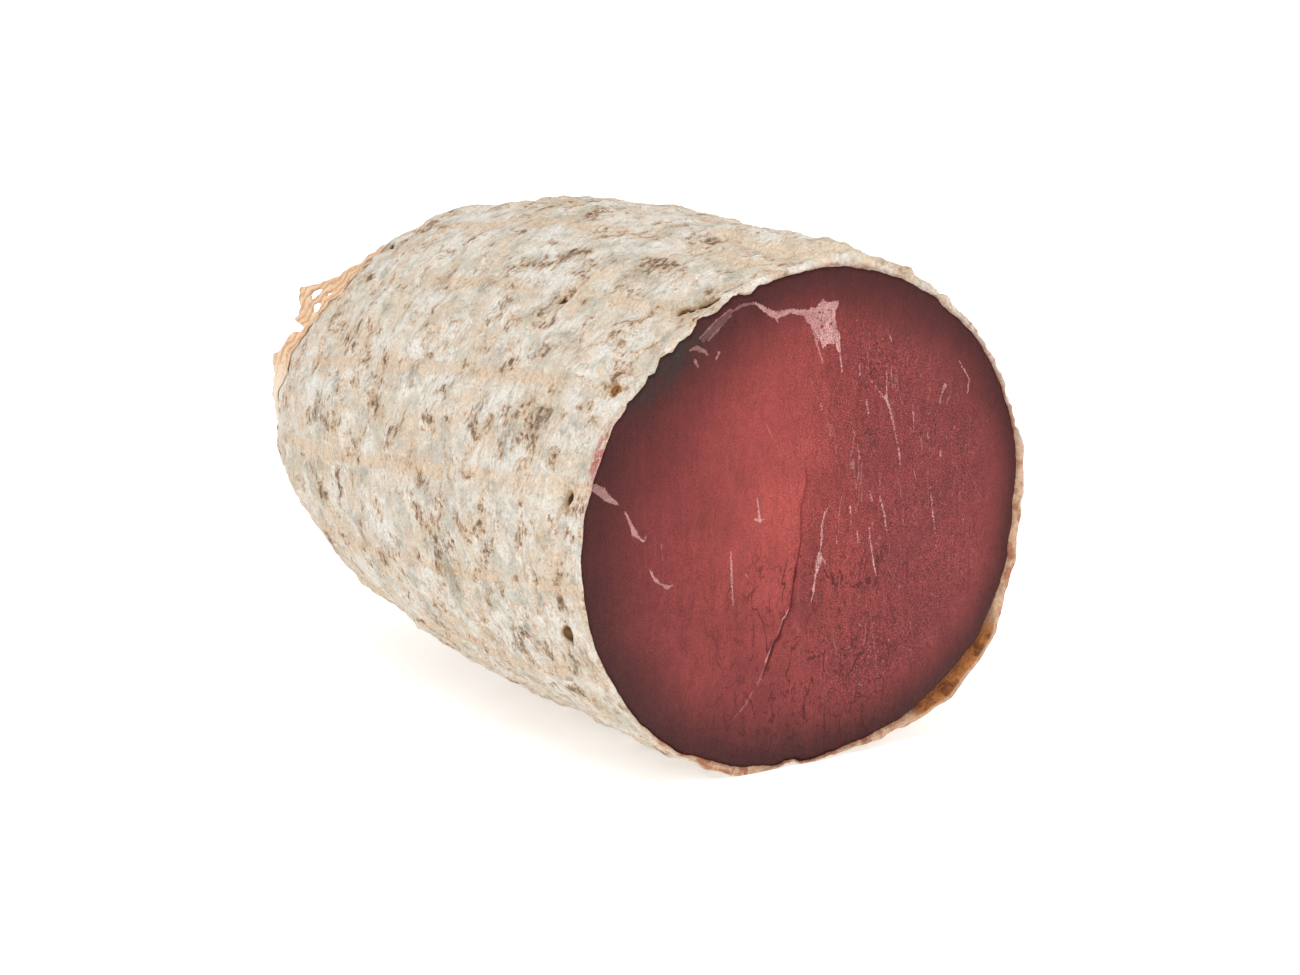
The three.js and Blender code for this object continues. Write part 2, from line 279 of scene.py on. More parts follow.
@dataclass
class BodyForm:
    """The whole form of the half bresaola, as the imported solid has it."""

    half_width: float = 59.0
    half_height: float = 56.0
    length: float = 174.0
    rind: float = 1.5
    flat_depth: float = 55.2
    min_casing: float = 0.55
    lip_proud: float = 0.5
    lip_blend: float = 13.0
    tip_fade: float = 22.0
    curl: float = 1.7
    curl_depth: float = 7.0
    lump_height: float = 0.75
    torn_stretch: Span = (100.0, 112.0, 142.0, 158.0)
    waves: Bumps = Bumps(31, 0.6, 4.2, 3)
    bites: Bumps = Bumps(32, 1.0, 3.2, 3)
    curls: Bumps = Bumps(24, 1.0, 4.5, 3)
    # The knobbly ridge of hard fat on top, just behind the cut.
    ridge: Swell = Swell(80.0, 9.0, 2.2, 9.0, 16.0, 0.35)
    swells: tuple[Swell, ...] = (
        Swell(88.0, 63.0, 1.3, 9.0, 10.0),
        Swell(70.0, 60.0, -1.2, 9.0, 16.0),
        Swell(115.0, 135.0, 1.6, 9.0, 12.0),
        Swell(137.0, 148.0, -1.4, 11.0, 13.0),
        Swell(234.0, 72.0, -1.1, 10.0, 20.0),
        Swell(238.0, 18.0, 0.8, 7.0, 8.0),
    )
    net: NetPrint = field(default_factory=NetPrint)
    meat_edge_pairs: Pairs = (
        (12, -0.5), (48, 0.2), (78, 0.5), (108, -1.0), (126, -1.6), (150, -0.7), (176, 0),
        (203, 0.5), (228, 1.4), (262, -0.8), (278, -1.6), (304, -0.8), (324, 0.2), (357, -1.6),
    )
    casing_edge_pairs: Pairs = (
        (5, 1.4), (27, 0.8), (42, 1.4), (61, 2.5), (74, 3.4), (83, 3.4), (98, 1.2), (126, -0.7),
        (150, 0.1), (176, 0.7), (203, 1.2), (224, 2.2), (238, 1.0), (246, 1.6), (254, 2.4),
        (268, 0.4), (280, -0.7), (294, 0.7), (303, 2.7), (309, 4.1), (325, 4.1), (336, 1.8),
        (352, 0.8),
    )

    def __post_init__(self) -> None:
        """Sets up the sides, the edges and the lumps."""
        self.flank = Side(3.8, 4.1, 0.035, self.half_width + self.rind)
        self.back = Side(5.7, 1.75, 0.029, self.half_height + self.rind)
        self.belly = Side(3.8, 2.5, -0.012, self.half_height + self.rind)
        self.meat_edge = curve_through(self.meat_edge_pairs, 360.0)
        self.casing_edge = curve_through(self.casing_edge_pairs, 360.0)
        self.lumps = BumpField(17, 11, 41)

    def plain(self, along: Array, angle: Array) -> Array:
        """Points of the smooth body, before any relief."""
        share = np.clip(along / self.length, 0.0, 1.0)
        turn = np.radians(angle)
        upper = np.sin(turn) >= 0.0
        upright = np.where(upper, self.back.reach(share), self.belly.reach(share))
        return np.stack(
            [self.flank.reach(share) * np.cos(turn), along, upright * np.sin(turn)], axis=-1
        )

    def outwards(self, along: Array, angle: Array) -> Array:
        """The smooth body's outward directions."""
        before = np.clip(along - 0.36, 0.0, 0.995 * self.length)
        lengthwise = self.plain(before + 0.36, angle) - self.plain(before, angle)
        around = self.plain(along, angle + 0.5) - self.plain(along, angle - 0.5)
        normal = np.cross(lengthwise, around)
        return normal / np.maximum(np.linalg.norm(normal, axis=-1, keepdims=True), 1e-12)

    def oval(self, angle: Array, beyond: Array, along: Array) -> Array:
        """Points of the cut's plain oval, pushed outwards."""
        turn = np.radians(angle)
        across = self.half_width * np.cos(turn)
        upright = self.half_height * np.sin(turn)
        scale = 1.0 + beyond / np.hypot(across, upright)
        return np.stack([across * scale, along + 0.0 * turn, upright * scale], axis=-1)

    def casing_beyond(self, angle: Array) -> Array:
        """How far the casing's edge lies outside the plain oval."""
        return np.maximum(self.casing_edge(angle), self.meat_edge(angle) + self.min_casing)

    def scallops(self, angle: Array) -> Array:
        """The small bites and bulges of the line between the meat and its casing."""
        edge = self.oval(angle, self.meat_edge(angle), 0.0)
        torn = stretch(angle, self.torn_stretch)
        return self.waves.at(edge) + self.bites.at(edge) * (0.12 + 2.6 * torn) - 0.2 * torn

    def relief(self, along: Array, angle: Array) -> Array:
        """The height of the rind's coarse relief over the smooth body."""
        fade = smoothstep(self.length - along, 0.0, self.tip_fade)
        lumps = self.lump_height * self.lumps.at(angle / 360.0, along / self.length)
        soft = fade * (lumps + self.net.pillows(along, angle))
        swells = (self.ridge, *self.swells)
        return soft + sum(swell.height * swell.at(along, angle) for swell in swells)

    def rind_points(self, along: Array, angle: Array, extra: Array) -> Array:
        """Points of the rind, with the shape that the rim gives it near the cut.

        Args:
            along: distances from the cut.
            angle: angles round the axis.
            extra: heights of the fine relief, on top of the coarse one.

        Returns:
            Points in the cut frame.
        """
        normal = self.outwards(along, angle)
        height = self.relief(along, angle)[..., None]
        body = self.plain(along, angle) + normal * height
        rim = self.oval(angle, self.casing_beyond(angle), along)
        rim_share = fall(along, 0.0, self.lip_blend)[..., None]
        return body + (rim - body) * rim_share + normal * np.asarray(extra)[..., None]

    def rest(self, points: Array, cover: float | Array = 0.0) -> Array:
        """Presses points up to the flat spot, less what lies between them and the floor."""
        curled = np.clip(self.curls.at(points * np.array([1.0, 0.0, 0.0])), 0.0, 1.0)
        curled = self.curl * curled * fall(points[..., 1], 0.0, self.curl_depth)
        rested = points.copy()
        rested[..., 2] = np.maximum(rested[..., 2], cover + curled - self.flat_depth)
        return rested


class CutFrame:
    """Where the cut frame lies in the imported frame."""

    def __init__(self, form: BodyForm, node: bpy.types.Object) -> None:
        """Finds the cut face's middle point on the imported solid."""
        low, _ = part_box(node.name)
        wanted = Vector((0.0, low[1] + form.lip_proud * MM, form.flat_depth * MM))
        middle = min((v.co for v in node.data.vertices), key=lambda co: (co - wanted).length)
        self.origin = np.array(middle)

    def to_world(self, points: Array) -> Array:
        """Cut-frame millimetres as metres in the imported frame."""
        return self.origin + np.asarray(points) * MM


# ---- meshes --------------------------------------------------------------------------------


def make_piece(
    name: str,
    points: Array,
    faces: Sequence[Sequence[int]] | Array,
    values: dict[str, Array],
) -> bpy.types.Object:
    """Makes a smooth mesh object whose named values its material can read.

    Args:
        name: the piece's name.
        points: its corners, in metres.
        faces: corner numbers of each face.
        values: one number for each corner, under each name.

    Returns:
        The new object, linked to the scene.
    """
    mesh = bpy.data.meshes.new(name)
    mesh.from_pydata(points.tolist(), [], [list(map(int, face)) for face in faces])
    mesh.polygons.foreach_set("use_smooth", [True] * len(mesh.polygons))
    for label, numbers in values.items():
        layer = mesh.attributes.new(label, "FLOAT", "POINT")
        layer.data.foreach_set("value", np.asarray(numbers, np.float32))
    mesh.validate()
    mesh.update()
    piece = bpy.data.objects.new(name, mesh)
    bpy.context.scene.collection.objects.link(piece)
    return piece


def ring_faces(rings: int, sides: int) -> list[list[int]]:
    """Faces of a skin: a first point, rings of equal length, and a last point."""
    faces = []
    for side in range(sides):
        after = (side + 1) % sides
        faces.append([0, 1 + side, 1 + after])
        for ring in range(rings - 1):
            here, there = 1 + ring * sides, 1 + (ring + 1) * sides
            faces.append([here + side, there + side, there + after, here + after])
        last = 1 + (rings - 1) * sides
        faces.append([1 + rings * sides, last + after, last + side])
    return faces


def stroke_depth(points: Array, stroke: Brush) -> Array:
    """How deep flat points lie inside a brush stroke of changing half-width.

    Args:
        points: flat points, two columns.
        stroke: (x, z, half-width) along the stroke; a single entry is a dot.

    Returns:
        Half-width less distance: positive inside, negative outside.
    """
    path = list(stroke) if len(stroke) > 1 else [stroke[0], stroke[0]]
    depth = np.full(len(points), -1e3)
    for (x0, z0, w0), (x1, z1, w1) in zip(path[:-1], path[1:]):
        start, span = np.array([x0, z0]), np.array([x1 - x0, z1 - z0])
        size = max(float(span @ span), 1e-9)
        share = np.clip((points - start) @ span / size, 0.0, 1.0)
        away = np.linalg.norm(points - start - share[:, None] * span, axis=1)
        depth = np.maximum(depth, w0 + (w1 - w0) * share - away)
    return depth


def outline_depth(points: Array, outline: Array) -> Array:
    """How deep flat points lie inside a closed outline, negative outside."""
    after = np.roll(outline, -1, axis=0)
    away = np.full(len(points), 1e3)
    inside = np.zeros(len(points), bool)
    for start, end in zip(outline, after):
        span = end - start
        share = np.clip((points - start) @ span / max(float(span @ span), 1e-9), 0.0, 1.0)
        away = np.minimum(away, np.linalg.norm(points - start - share[:, None] * span, axis=1))
        crosses = (start[1] > points[:, 1]) != (end[1] > points[:, 1])
        rise = end[1] - start[1] if end[1] != start[1] else 1e-9
        at = start[0] + span[0] * (points[:, 1] - start[1]) / rise
        inside ^= crosses & (points[:, 0] < at)
    return np.where(inside, away, -away)


# ---- shader building -----------------------------------------------------------------------


def linear(red: int, green: int, blue: int) -> tuple[float, float, float, float]:
    """A screen colour, 0 to 255, as the linear colour that a shader takes."""
    def channel(value: int) -> float:
        """One channel of the colour, linear."""
        share = value / 255.0
        return share / 12.92 if share <= 0.04045 else ((share + 0.055) / 1.055) ** 2.4

    return channel(red), channel(green), channel(blue), 1.0


class Graph:
    """A shader node tree that is written as plain steps."""

    def __init__(self, tree: bpy.types.NodeTree) -> None:
        """Takes an empty node tree."""
        self.tree = tree

    def node(self, kind: str, **settings: object) -> bpy.types.Node:
        """Adds a node and sets its properties."""
        made = self.tree.nodes.new(kind)
        for name, value in settings.items():
            setattr(made, name, value)
        return made

    def feed(self, socket: Socket, source: object) -> None:
        """Links a socket to another, or sets its value."""
        if isinstance(source, Socket):
            self.tree.links.new(source, socket)
        elif isinstance(source, tuple):
            socket.default_value = source[: len(socket.default_value)]
        else:
            socket.default_value = source

    def math(self, operation: str, *sources: object, clamp: bool = False) -> Socket:
        """One arithmetic step."""
        made = self.node("ShaderNodeMath", operation=operation, use_clamp=clamp)
        for socket, source in zip(made.inputs, sources):
            self.feed(socket, source)
        return made.outputs[0]

    def times(self, first: object, second: object) -> Socket:
        """One number times another."""
        return self.math("MULTIPLY", first, second)

    def plus(self, first: object, second: object) -> Socket:
        """One number added to another."""
        return self.math("ADD", first, second)

    def minus(self, first: object, second: object) -> Socket:
        """One number less another."""
        return self.math("SUBTRACT", first, second)

    def vector(self, operation: str, *sources: object) -> Socket:
        """One step with vectors."""
        made = self.node("ShaderNodeVectorMath", operation=operation)
        for socket, source in zip(made.inputs, sources):
            self.feed(socket, source)
        return made.outputs[0]

    def window(self, value: object, low: object, high: object) -> Socket:
        """A smooth rise from 0 to 1 between two values."""
        made = self.node("ShaderNodeMapRange", interpolation_type="SMOOTHSTEP")
        self.feed(made.inputs["Value"], value)
        self.feed(made.inputs["From Min"], low)
        self.feed(made.inputs["From Max"], high)
        return made.outputs["Result"]

    def mix(self, share: object, first: object, second: object) -> Socket:
        """A colour between two others."""
        made = self.node("ShaderNodeMix", data_type="RGBA")
        self.feed(made.inputs["Factor"], share)
        self.feed(made.inputs["A"], first)
        self.feed(made.inputs["B"], second)
        return made.outputs["Result"]

    def shade(self, colour: object, amount: object) -> Socket:
        """A colour made lighter or darker by a factor."""
        scaled = self.node("ShaderNodeVectorMath", operation="SCALE")
        self.feed(scaled.inputs[0], colour)
        self.feed(scaled.inputs["Scale"], amount)
        return scaled.outputs[0]

    def value(self, name: str) -> Socket:
        """A number that the mesh holds at each corner."""
        return self.node("ShaderNodeAttribute", attribute_name=name).outputs["Fac"]

    def place(self) -> Socket:
        """The place on the piece, in millimetres."""
        coordinates = self.node("ShaderNodeTexCoord").outputs["Object"]
        return self.vector("MULTIPLY", coordinates, (1 / MM, 1 / MM, 1 / MM))

    def effect(self, group: bpy.types.NodeTree, **inputs: object) -> bpy.types.Node:
        """Places a shared effect, with its own values (an underscore stands for a space)."""
        made = self.node("ShaderNodeGroup", node_tree=group)
        for name, source in inputs.items():
            self.feed(made.inputs[name.replace("_", " ")], source)
        return made


class Effects:
    """The effects that several materials share, each built once as a node group."""

    def __init__(self) -> None:
        """Builds the groups."""
        self.patches = self._patches()
        self.grain = self._grain()
        self.threads = self._threads()

    @staticmethod
    def _group(name: str, inputs: dict[str, float | None], outputs: Sequence[str]) -> tuple[
            Graph, bpy.types.Node, bpy.types.Node]:
        """Starts a group.

        Args:
            name: the group's name.
            inputs: each input's name and usual value, None for a vector.
            outputs: the names of the number outputs.

        Returns:
            The graph, and its input and output nodes.
        """
        tree = bpy.data.node_groups.new(name, "ShaderNodeTree")
        for label, usual in inputs.items():
            kind = "NodeSocketVector" if usual is None else "NodeSocketFloat"
            socket = tree.interface.new_socket(label, in_out="INPUT", socket_type=kind)
            if usual is not None:
                socket.default_value = usual
        for label in outputs:
            tree.interface.new_socket(label, in_out="OUTPUT", socket_type="NodeSocketFloat")
        graph = Graph(tree)
        return graph, graph.node("NodeGroupInput"), graph.node("NodeGroupOutput")

    def _patches(self) -> bpy.types.NodeTree:
        """Soft or crisp patches: where a noise of a given size is over a level."""
        usual = {"Place": None, "Size": 10.0, "Level": 0.5, "Softness": 0.05, "Detail": 4.0,
                 "Roughness": 0.55, "Warp": 0.0}
        graph, start, end = self._group("Patches", usual, ["Mask", "Height"])
        scaled = graph.node("ShaderNodeVectorMath", operation="SCALE")
        graph.feed(scaled.inputs[0], start.outputs["Place"])
        graph.feed(scaled.inputs["Scale"], graph.math("DIVIDE", 1.0, start.outputs["Size"]))
        noise = graph.node("ShaderNodeTexNoise")
        graph.feed(noise.inputs["Vector"], scaled.outputs[0])
        graph.feed(noise.inputs["Scale"], 1.0)
        graph.feed(noise.inputs["Detail"], start.outputs["Detail"])
        graph.feed(noise.inputs["Roughness"], start.outputs["Roughness"])
        graph.feed(noise.inputs["Distortion"], start.outputs["Warp"])
        low = graph.minus(start.outputs["Level"], start.outputs["Softness"])
        high = graph.plus(start.outputs["Level"], start.outputs["Softness"])
        height = noise.outputs["Fac"]
        graph.feed(end.inputs["Mask"], graph.window(height, low, high))
        graph.feed(end.inputs["Height"], height)
        return graph.tree

    def _grain(self) -> bpy.types.NodeTree:
        """Fine grain round 1: a factor for colours, and its height."""
        usual = {"Place": None, "Size": 0.8, "Contrast": 0.1}
        graph, start, end = self._group("Grain", usual, ["Factor", "Height"])
        patches = graph.effect(
            self.patches, Place=start.outputs["Place"], Size=start.outputs["Size"],
            Detail=3.0, Roughness=0.7,
        )
        height = patches.outputs["Height"]
        swing = graph.times(graph.minus(height, 0.5), 2.0)
        swing = graph.times(swing, start.outputs["Contrast"])
        graph.feed(end.inputs["Factor"], graph.plus(1.0, swing))
        graph.feed(end.inputs["Height"], height)
        return graph.tree

    def _threads(self) -> bpy.types.NodeTree:
        """Thin wandering threads: the crest lines of a noise, broken by a coarser one."""
        usual = {"Place": None, "Size": 6.0, "Width": 0.02, "Breaks": 0.5}
        graph, start, end = self._group("Threads", usual, ["Mask"])
        crest = graph.effect(
            self.patches, Place=start.outputs["Place"], Size=start.outputs["Size"],
            Detail=2.0, Roughness=0.5, Warp=0.3,
        )
        away = graph.math("ABSOLUTE", graph.minus(crest.outputs["Height"], 0.5))
        wide = graph.times(start.outputs["Width"], 2.2)
        line = graph.window(away, wide, start.outputs["Width"])
        gate = graph.effect(
            self.patches, Place=start.outputs["Place"], Level=start.outputs["Breaks"],
            Size=graph.times(start.outputs["Size"], 0.9), Softness=0.05,
        )
        graph.feed(end.inputs["Mask"], graph.times(line, gate.outputs["Mask"]))
        return graph.tree


class Finish:
    """A material in the making: a graph that ends in one Principled shader."""

    def __init__(self, name: str, **constants: float) -> None:
        """Starts a material; constants are the shader's own fixed values by socket name."""
        self.material = bpy.data.materials.new(name)
        self.material.use_nodes = True
        self.graph = Graph(self.material.node_tree)
        nodes = self.material.node_tree.nodes
        self.shader = nodes["Principled BSDF"]
        for label, constant in constants.items():
            self.shader.inputs[label.replace("_", " ")].default_value = constant

    def finish(
        self, colour: object, roughness: object, height: object, relief: float
    ) -> bpy.types.Material:
        """Feeds the shader.

        Args:
            colour: the base colour.
            roughness: how dull the surface is.
            height: the fine relief, 0 to 1.
            relief: what a height of 1 measures, in millimetres.

        Returns:
            The finished material.
        """
        bump = self.graph.node("ShaderNodeBump")
        bump.inputs["Distance"].default_value = relief * MM
        self.graph.feed(bump.inputs["Height"], height)
        self.graph.feed(self.shader.inputs["Base Color"], colour)
        self.graph.feed(self.shader.inputs["Roughness"], roughness)
        self.graph.feed(self.shader.inputs["Normal"], bump.outputs["Normal"])
        return self.material


class Coat:
    """Layers of colour, painted one over another."""

    def __init__(self, graph: Graph, ground: Rgb) -> None:
        """Starts with the ground colour."""
        self.graph = graph
        self.colour: object = linear(*ground)

    def over(self, mask: object, strength: float, paint: Rgb | Socket) -> None:
        """Paints a colour where the mask is, at the given strength."""
        share = mask if strength == 1.0 else self.graph.times(mask, strength)
        fresh = linear(*paint) if isinstance(paint, tuple) else paint
        self.colour = self.graph.mix(share, self.colour, fresh)

    def shade(self, amount: object) -> None:
        """Makes all of it lighter or darker by a factor."""
        self.colour = self.graph.shade(self.colour, amount)


# ---- the rind ------------------------------------------------------------------------------


@dataclass(frozen=True)
class Pit:
    """A hole or a cut in the rind."""

    along: float
    angle: float
    half_along: float
    half_around: float
    depth: float
    amber: float


@dataclass(frozen=True)
class Stain:
    """A grey-brown smudge of the rind."""

    along: float
    angle: float
    half_along: float
    half_around: float
    strength: float


@dataclass(frozen=True)
class Blush:
    """A stretch of the casing's edge that some red of the meat has stained."""

    angle: float
    half_angle: float
    near: float
    far: float
    strength: float

    def at(self, along: Array, angle: Array) -> Array:
        """How strong the stain is at a distance behind the cut."""
        off = np.mod(angle - self.angle + 180.0, 360.0) - 180.0
        spread = np.exp(-((off / self.half_angle) ** 2))
        return self.strength * spread * fall(along, self.near, self.far)


@dataclass(frozen=True)
class RindFinish:
    """The colours of the casing and the mould on it."""

    cream: Rgb = (230, 217, 197)
    bloom: Rgb = (243, 237, 226)
    chalk: Rgb = (246, 241, 232)
    grey: Rgb = (205, 200, 185)
    peach: Rgb = (233, 208, 181)
    tan: Rgb = (206, 172, 139)
    brown: Rgb = (152, 116, 88)
    dark: Rgb = (88, 72, 58)
    smudge: Rgb = (140, 132, 114)
    ochre: Rgb = (176, 126, 76)
    amber: Rgb = (184, 118, 66)
    umber: Rgb = (122, 72, 38)
    gold: Rgb = (220, 182, 150)
    rust: Rgb = (178, 120, 92)
    lining: Rgb = (150, 86, 70)
    honey: Rgb = (198, 160, 116)
    yellow: Rgb = (243, 222, 197)
    straw: Rgb = (222, 184, 142)
    blush: Rgb = (186, 110, 100)
    hole: Rgb = (62, 40, 26)

    def dress(self, effects: Effects) -> bpy.types.Material:
        """Builds the rind's material."""
        finish = Finish("rind_mould", Specular_IOR_Level=0.2)
        g = finish.graph
        place = g.place()
        # Fine marks are drawn out round the piece, as the casing was pulled tight.
        drawn = g.vector("MULTIPLY", place, (0.78, 1.3, 0.78))

        def patches(off: float, size: float, level: float, soft: float, fine: bool = False,
                    **more: float) -> bpy.types.Node:
            """Patches of one kind, moved off from those of the other kinds."""
            moved = g.vector("ADD", drawn if fine else place, (off, 0.37 * off, -0.61 * off))
            return g.effect(effects.patches, Place=moved, Size=size, Level=level, Softness=soft,
                            **more)

        cloud = patches(0.0, 13.0, 0.5, 0.09, Detail=8.0, Roughness=0.6)
        chalk = patches(71.0, 7.5, 0.585, 0.035, Detail=7.0, Roughness=0.55, Warp=0.4)
        grey = patches(91.0, 9.0, 0.56, 0.07, Detail=8.0, Roughness=0.62, Warp=0.3)
        blot = patches(37.0, 6.5, 0.615, 0.07, Detail=6.0, Roughness=0.62)
        warm = patches(17.0, 8.0, 0.54, 0.07, Detail=8.0, Roughness=0.68, Warp=0.3)
        crust = patches(53.0, 7.0, 0.56, 0.07, Detail=6.0, Roughness=0.62, Warp=0.3)
        crumbs = patches(5.0, 1.3, 0.5, 0.1, True, Detail=5.0, Roughness=0.72, Warp=0.3)
        folds = patches(29.0, 4.2, 0.5, 0.1, Detail=5.0, Roughness=0.62, Warp=0.6)
        fade = patches(13.0, 22.0, 0.46, 0.1, Detail=2.0)
        streaks = g.effect(effects.threads, Place=g.vector("MULTIPLY", place, (0.5, 2.2, 0.5)),
                           Size=7.0, Width=0.008, Breaks=0.56)
        hairs = g.effect(effects.threads, Place=drawn, Size=4.5, Width=0.007, Breaks=0.5)
        grit = g.effect(effects.grain, Place=drawn, Size=1.5, Contrast=0.24)
        grain = g.effect(effects.grain, Place=place, Size=0.55, Contrast=0.42)
        crumb, fold = crumbs.outputs["Height"], folds.outputs["Height"]

        coat = Coat(g, self.cream)
        coat.over(cloud.outputs["Mask"], 1.0, self.bloom)
        coat.over(grey.outputs["Mask"], 0.8, self.grey)
        warmth = g.times(warm.outputs["Mask"], g.window(crumb, 0.34, 0.54))
        coat.over(warmth, 0.85, self.peach)
        coat.over(g.times(chalk.outputs["Mask"], g.window(crumb, 0.3, 0.45)), 0.6,
                  self.chalk)
        # The cords of the net have left bands of peach with crumbly edges.
        away = g.plus(g.value("off_cord"), g.times(crumb, 4.5))
        band = g.times(g.window(away, 4.3, 2.9), g.plus(0.35, fade.outputs["Mask"]))
        coat.over(band, 0.62, self.peach)
        beside = g.math("ABSOLUTE", g.minus(g.value("off_cord"), 1.5))
        loose = g.times(g.window(beside, 0.9, 0.2), g.window(crumb, 0.5, 0.6))
        coat.over(loose, 0.55, self.tan)
        thread = g.plus(g.value("off_hoop"), g.times(crumb, 1.6))
        coat.over(g.window(thread, 1.35, 0.95), 0.5, self.tan)
        coat.over(streaks.outputs["Mask"], 0.45, self.tan)
        coat.over(hairs.outputs["Mask"], 0.4, self.brown)
        # Crumbly brown clusters: tan at their edges, dark in their middles.
        depth = g.minus(crust.outputs["Height"], 0.5)
        depth = g.plus(g.times(depth, 1.6), g.times(g.value("stain"), 0.16))
        depth = g.plus(depth, g.times(g.minus(fold, 0.5), 0.35))
        crumbly = g.plus(crumb, depth)
        coat.over(g.window(crumbly, 0.55, 0.66), 0.65, self.tan)
        coat.over(g.window(crumbly, 0.66, 0.74), 0.65, self.brown)
        coat.over(g.window(crumbly, 0.76, 0.82), 0.75, self.dark)
        smudge = g.times(blot.outputs["Mask"], g.window(crumb, 0.3, 0.56))
        stained = g.times(g.value("stain"), g.window(crumb, 0.34, 0.58))
        dirty = g.math("ADD", g.times(smudge, 0.6), g.times(stained, 0.8), clamp=True)
        coat.over(dirty, 0.85, self.smudge)
        self._paint_ridge(g, coat, crumb)
        self._paint_edge(g, coat, crumb, fold)
        self._paint_holes(g, coat, crumb)
        # Painted shade: the hollows of the folds and crumbs are darkened, as shadow would darken
        # them.
        hollow = g.plus(g.times(fold, 0.5), g.times(crumb, 0.5))
        coat.shade(g.plus(0.8, g.times(g.window(hollow, 0.34, 0.52), 0.22)))
        coat.shade(grit.outputs["Factor"])
        coat.shade(grain.outputs["Factor"])

        height = g.times(cloud.outputs["Height"], 0.6)
        height = g.plus(height, g.times(chalk.outputs["Mask"], 0.06))
        height = g.plus(height, g.times(fold, 0.75))
        height = g.plus(height, g.times(crumb, 0.5))
        height = g.plus(height, g.times(grain.outputs["Height"], 0.16))
        height = g.minus(height, g.times(g.window(crumbly, 0.66, 0.82), 0.15))
        return finish.finish(coat.colour, 0.8, height, 2.0)

    def _paint_ridge(self, g: Graph, coat: Coat, crumb: Socket) -> None:
        """The ridge is a crust of peach and tan granules with dark gaps; the brown of the gaps is
        painted shade.
        """
        # Painted shade: the last layer, brown, stands in for the shadow between the granules.
        for low, high, strength, paint in ((0.28, 0.44, 0.8, self.yellow),
                                           (0.5, 0.6, 0.6, self.straw),
                                           (0.62, 0.68, 0.6, self.brown)):
            crusty = g.times(g.value("ridge"), g.window(crumb, low, high))
            coat.over(crusty, strength, paint)

    def _paint_edge(
        self, g: Graph, coat: Coat, crumb: Socket, fold: Socket
    ) -> None:
        """The edge of the casing: gold where it is thin, amber inside where it has lifted."""
        golden = g.mix(g.window(fold, 0.46, 0.6), linear(*self.gold), linear(*self.rust))
        golden = g.mix(g.window(g.value("amber"), 0.3, 0.08), golden, linear(*self.cream))
        inside = g.mix(g.window(fold, 0.44, 0.6), linear(*self.amber), linear(*self.umber))
        inside = g.mix(g.window(g.value("amber"), 0.95, 0.6), inside, linear(*self.gold))
        golden = g.mix(g.window(g.value("amber"), 0.45, 0.7), golden, inside)
        rimmed = g.plus(g.value("amber"), g.times(crumb, 0.3))
        coat.over(g.window(rimmed, 0.2, 0.42), 1.0, golden)
        stained = g.times(g.value("blush"), g.window(crumb, 0.42, 0.54))
        coat.over(stained, 1.0, self.blush)
        lined = g.times(g.value("inner"), g.window(crumb, 0.62, 0.42))
        coat.over(lined, 0.85, self.lining)

    def _paint_holes(self, g: Graph, coat: Coat, crumb: Socket) -> None:
        """The holes: honey round the rim, dark or flaky gold at the bottom."""
        pitted = g.plus(g.value("hole"), g.times(crumb, 0.5))
        coat.over(g.window(pitted, 0.42, 0.66), 0.8, self.honey)
        flaky = g.times(g.value("golden"), g.window(crumb, 0.4, 0.5))
        bottom = g.mix(flaky, linear(*self.hole), linear(*self.ochre))
        coat.over(g.window(pitted, 0.7, 0.95), 1.0, bottom)


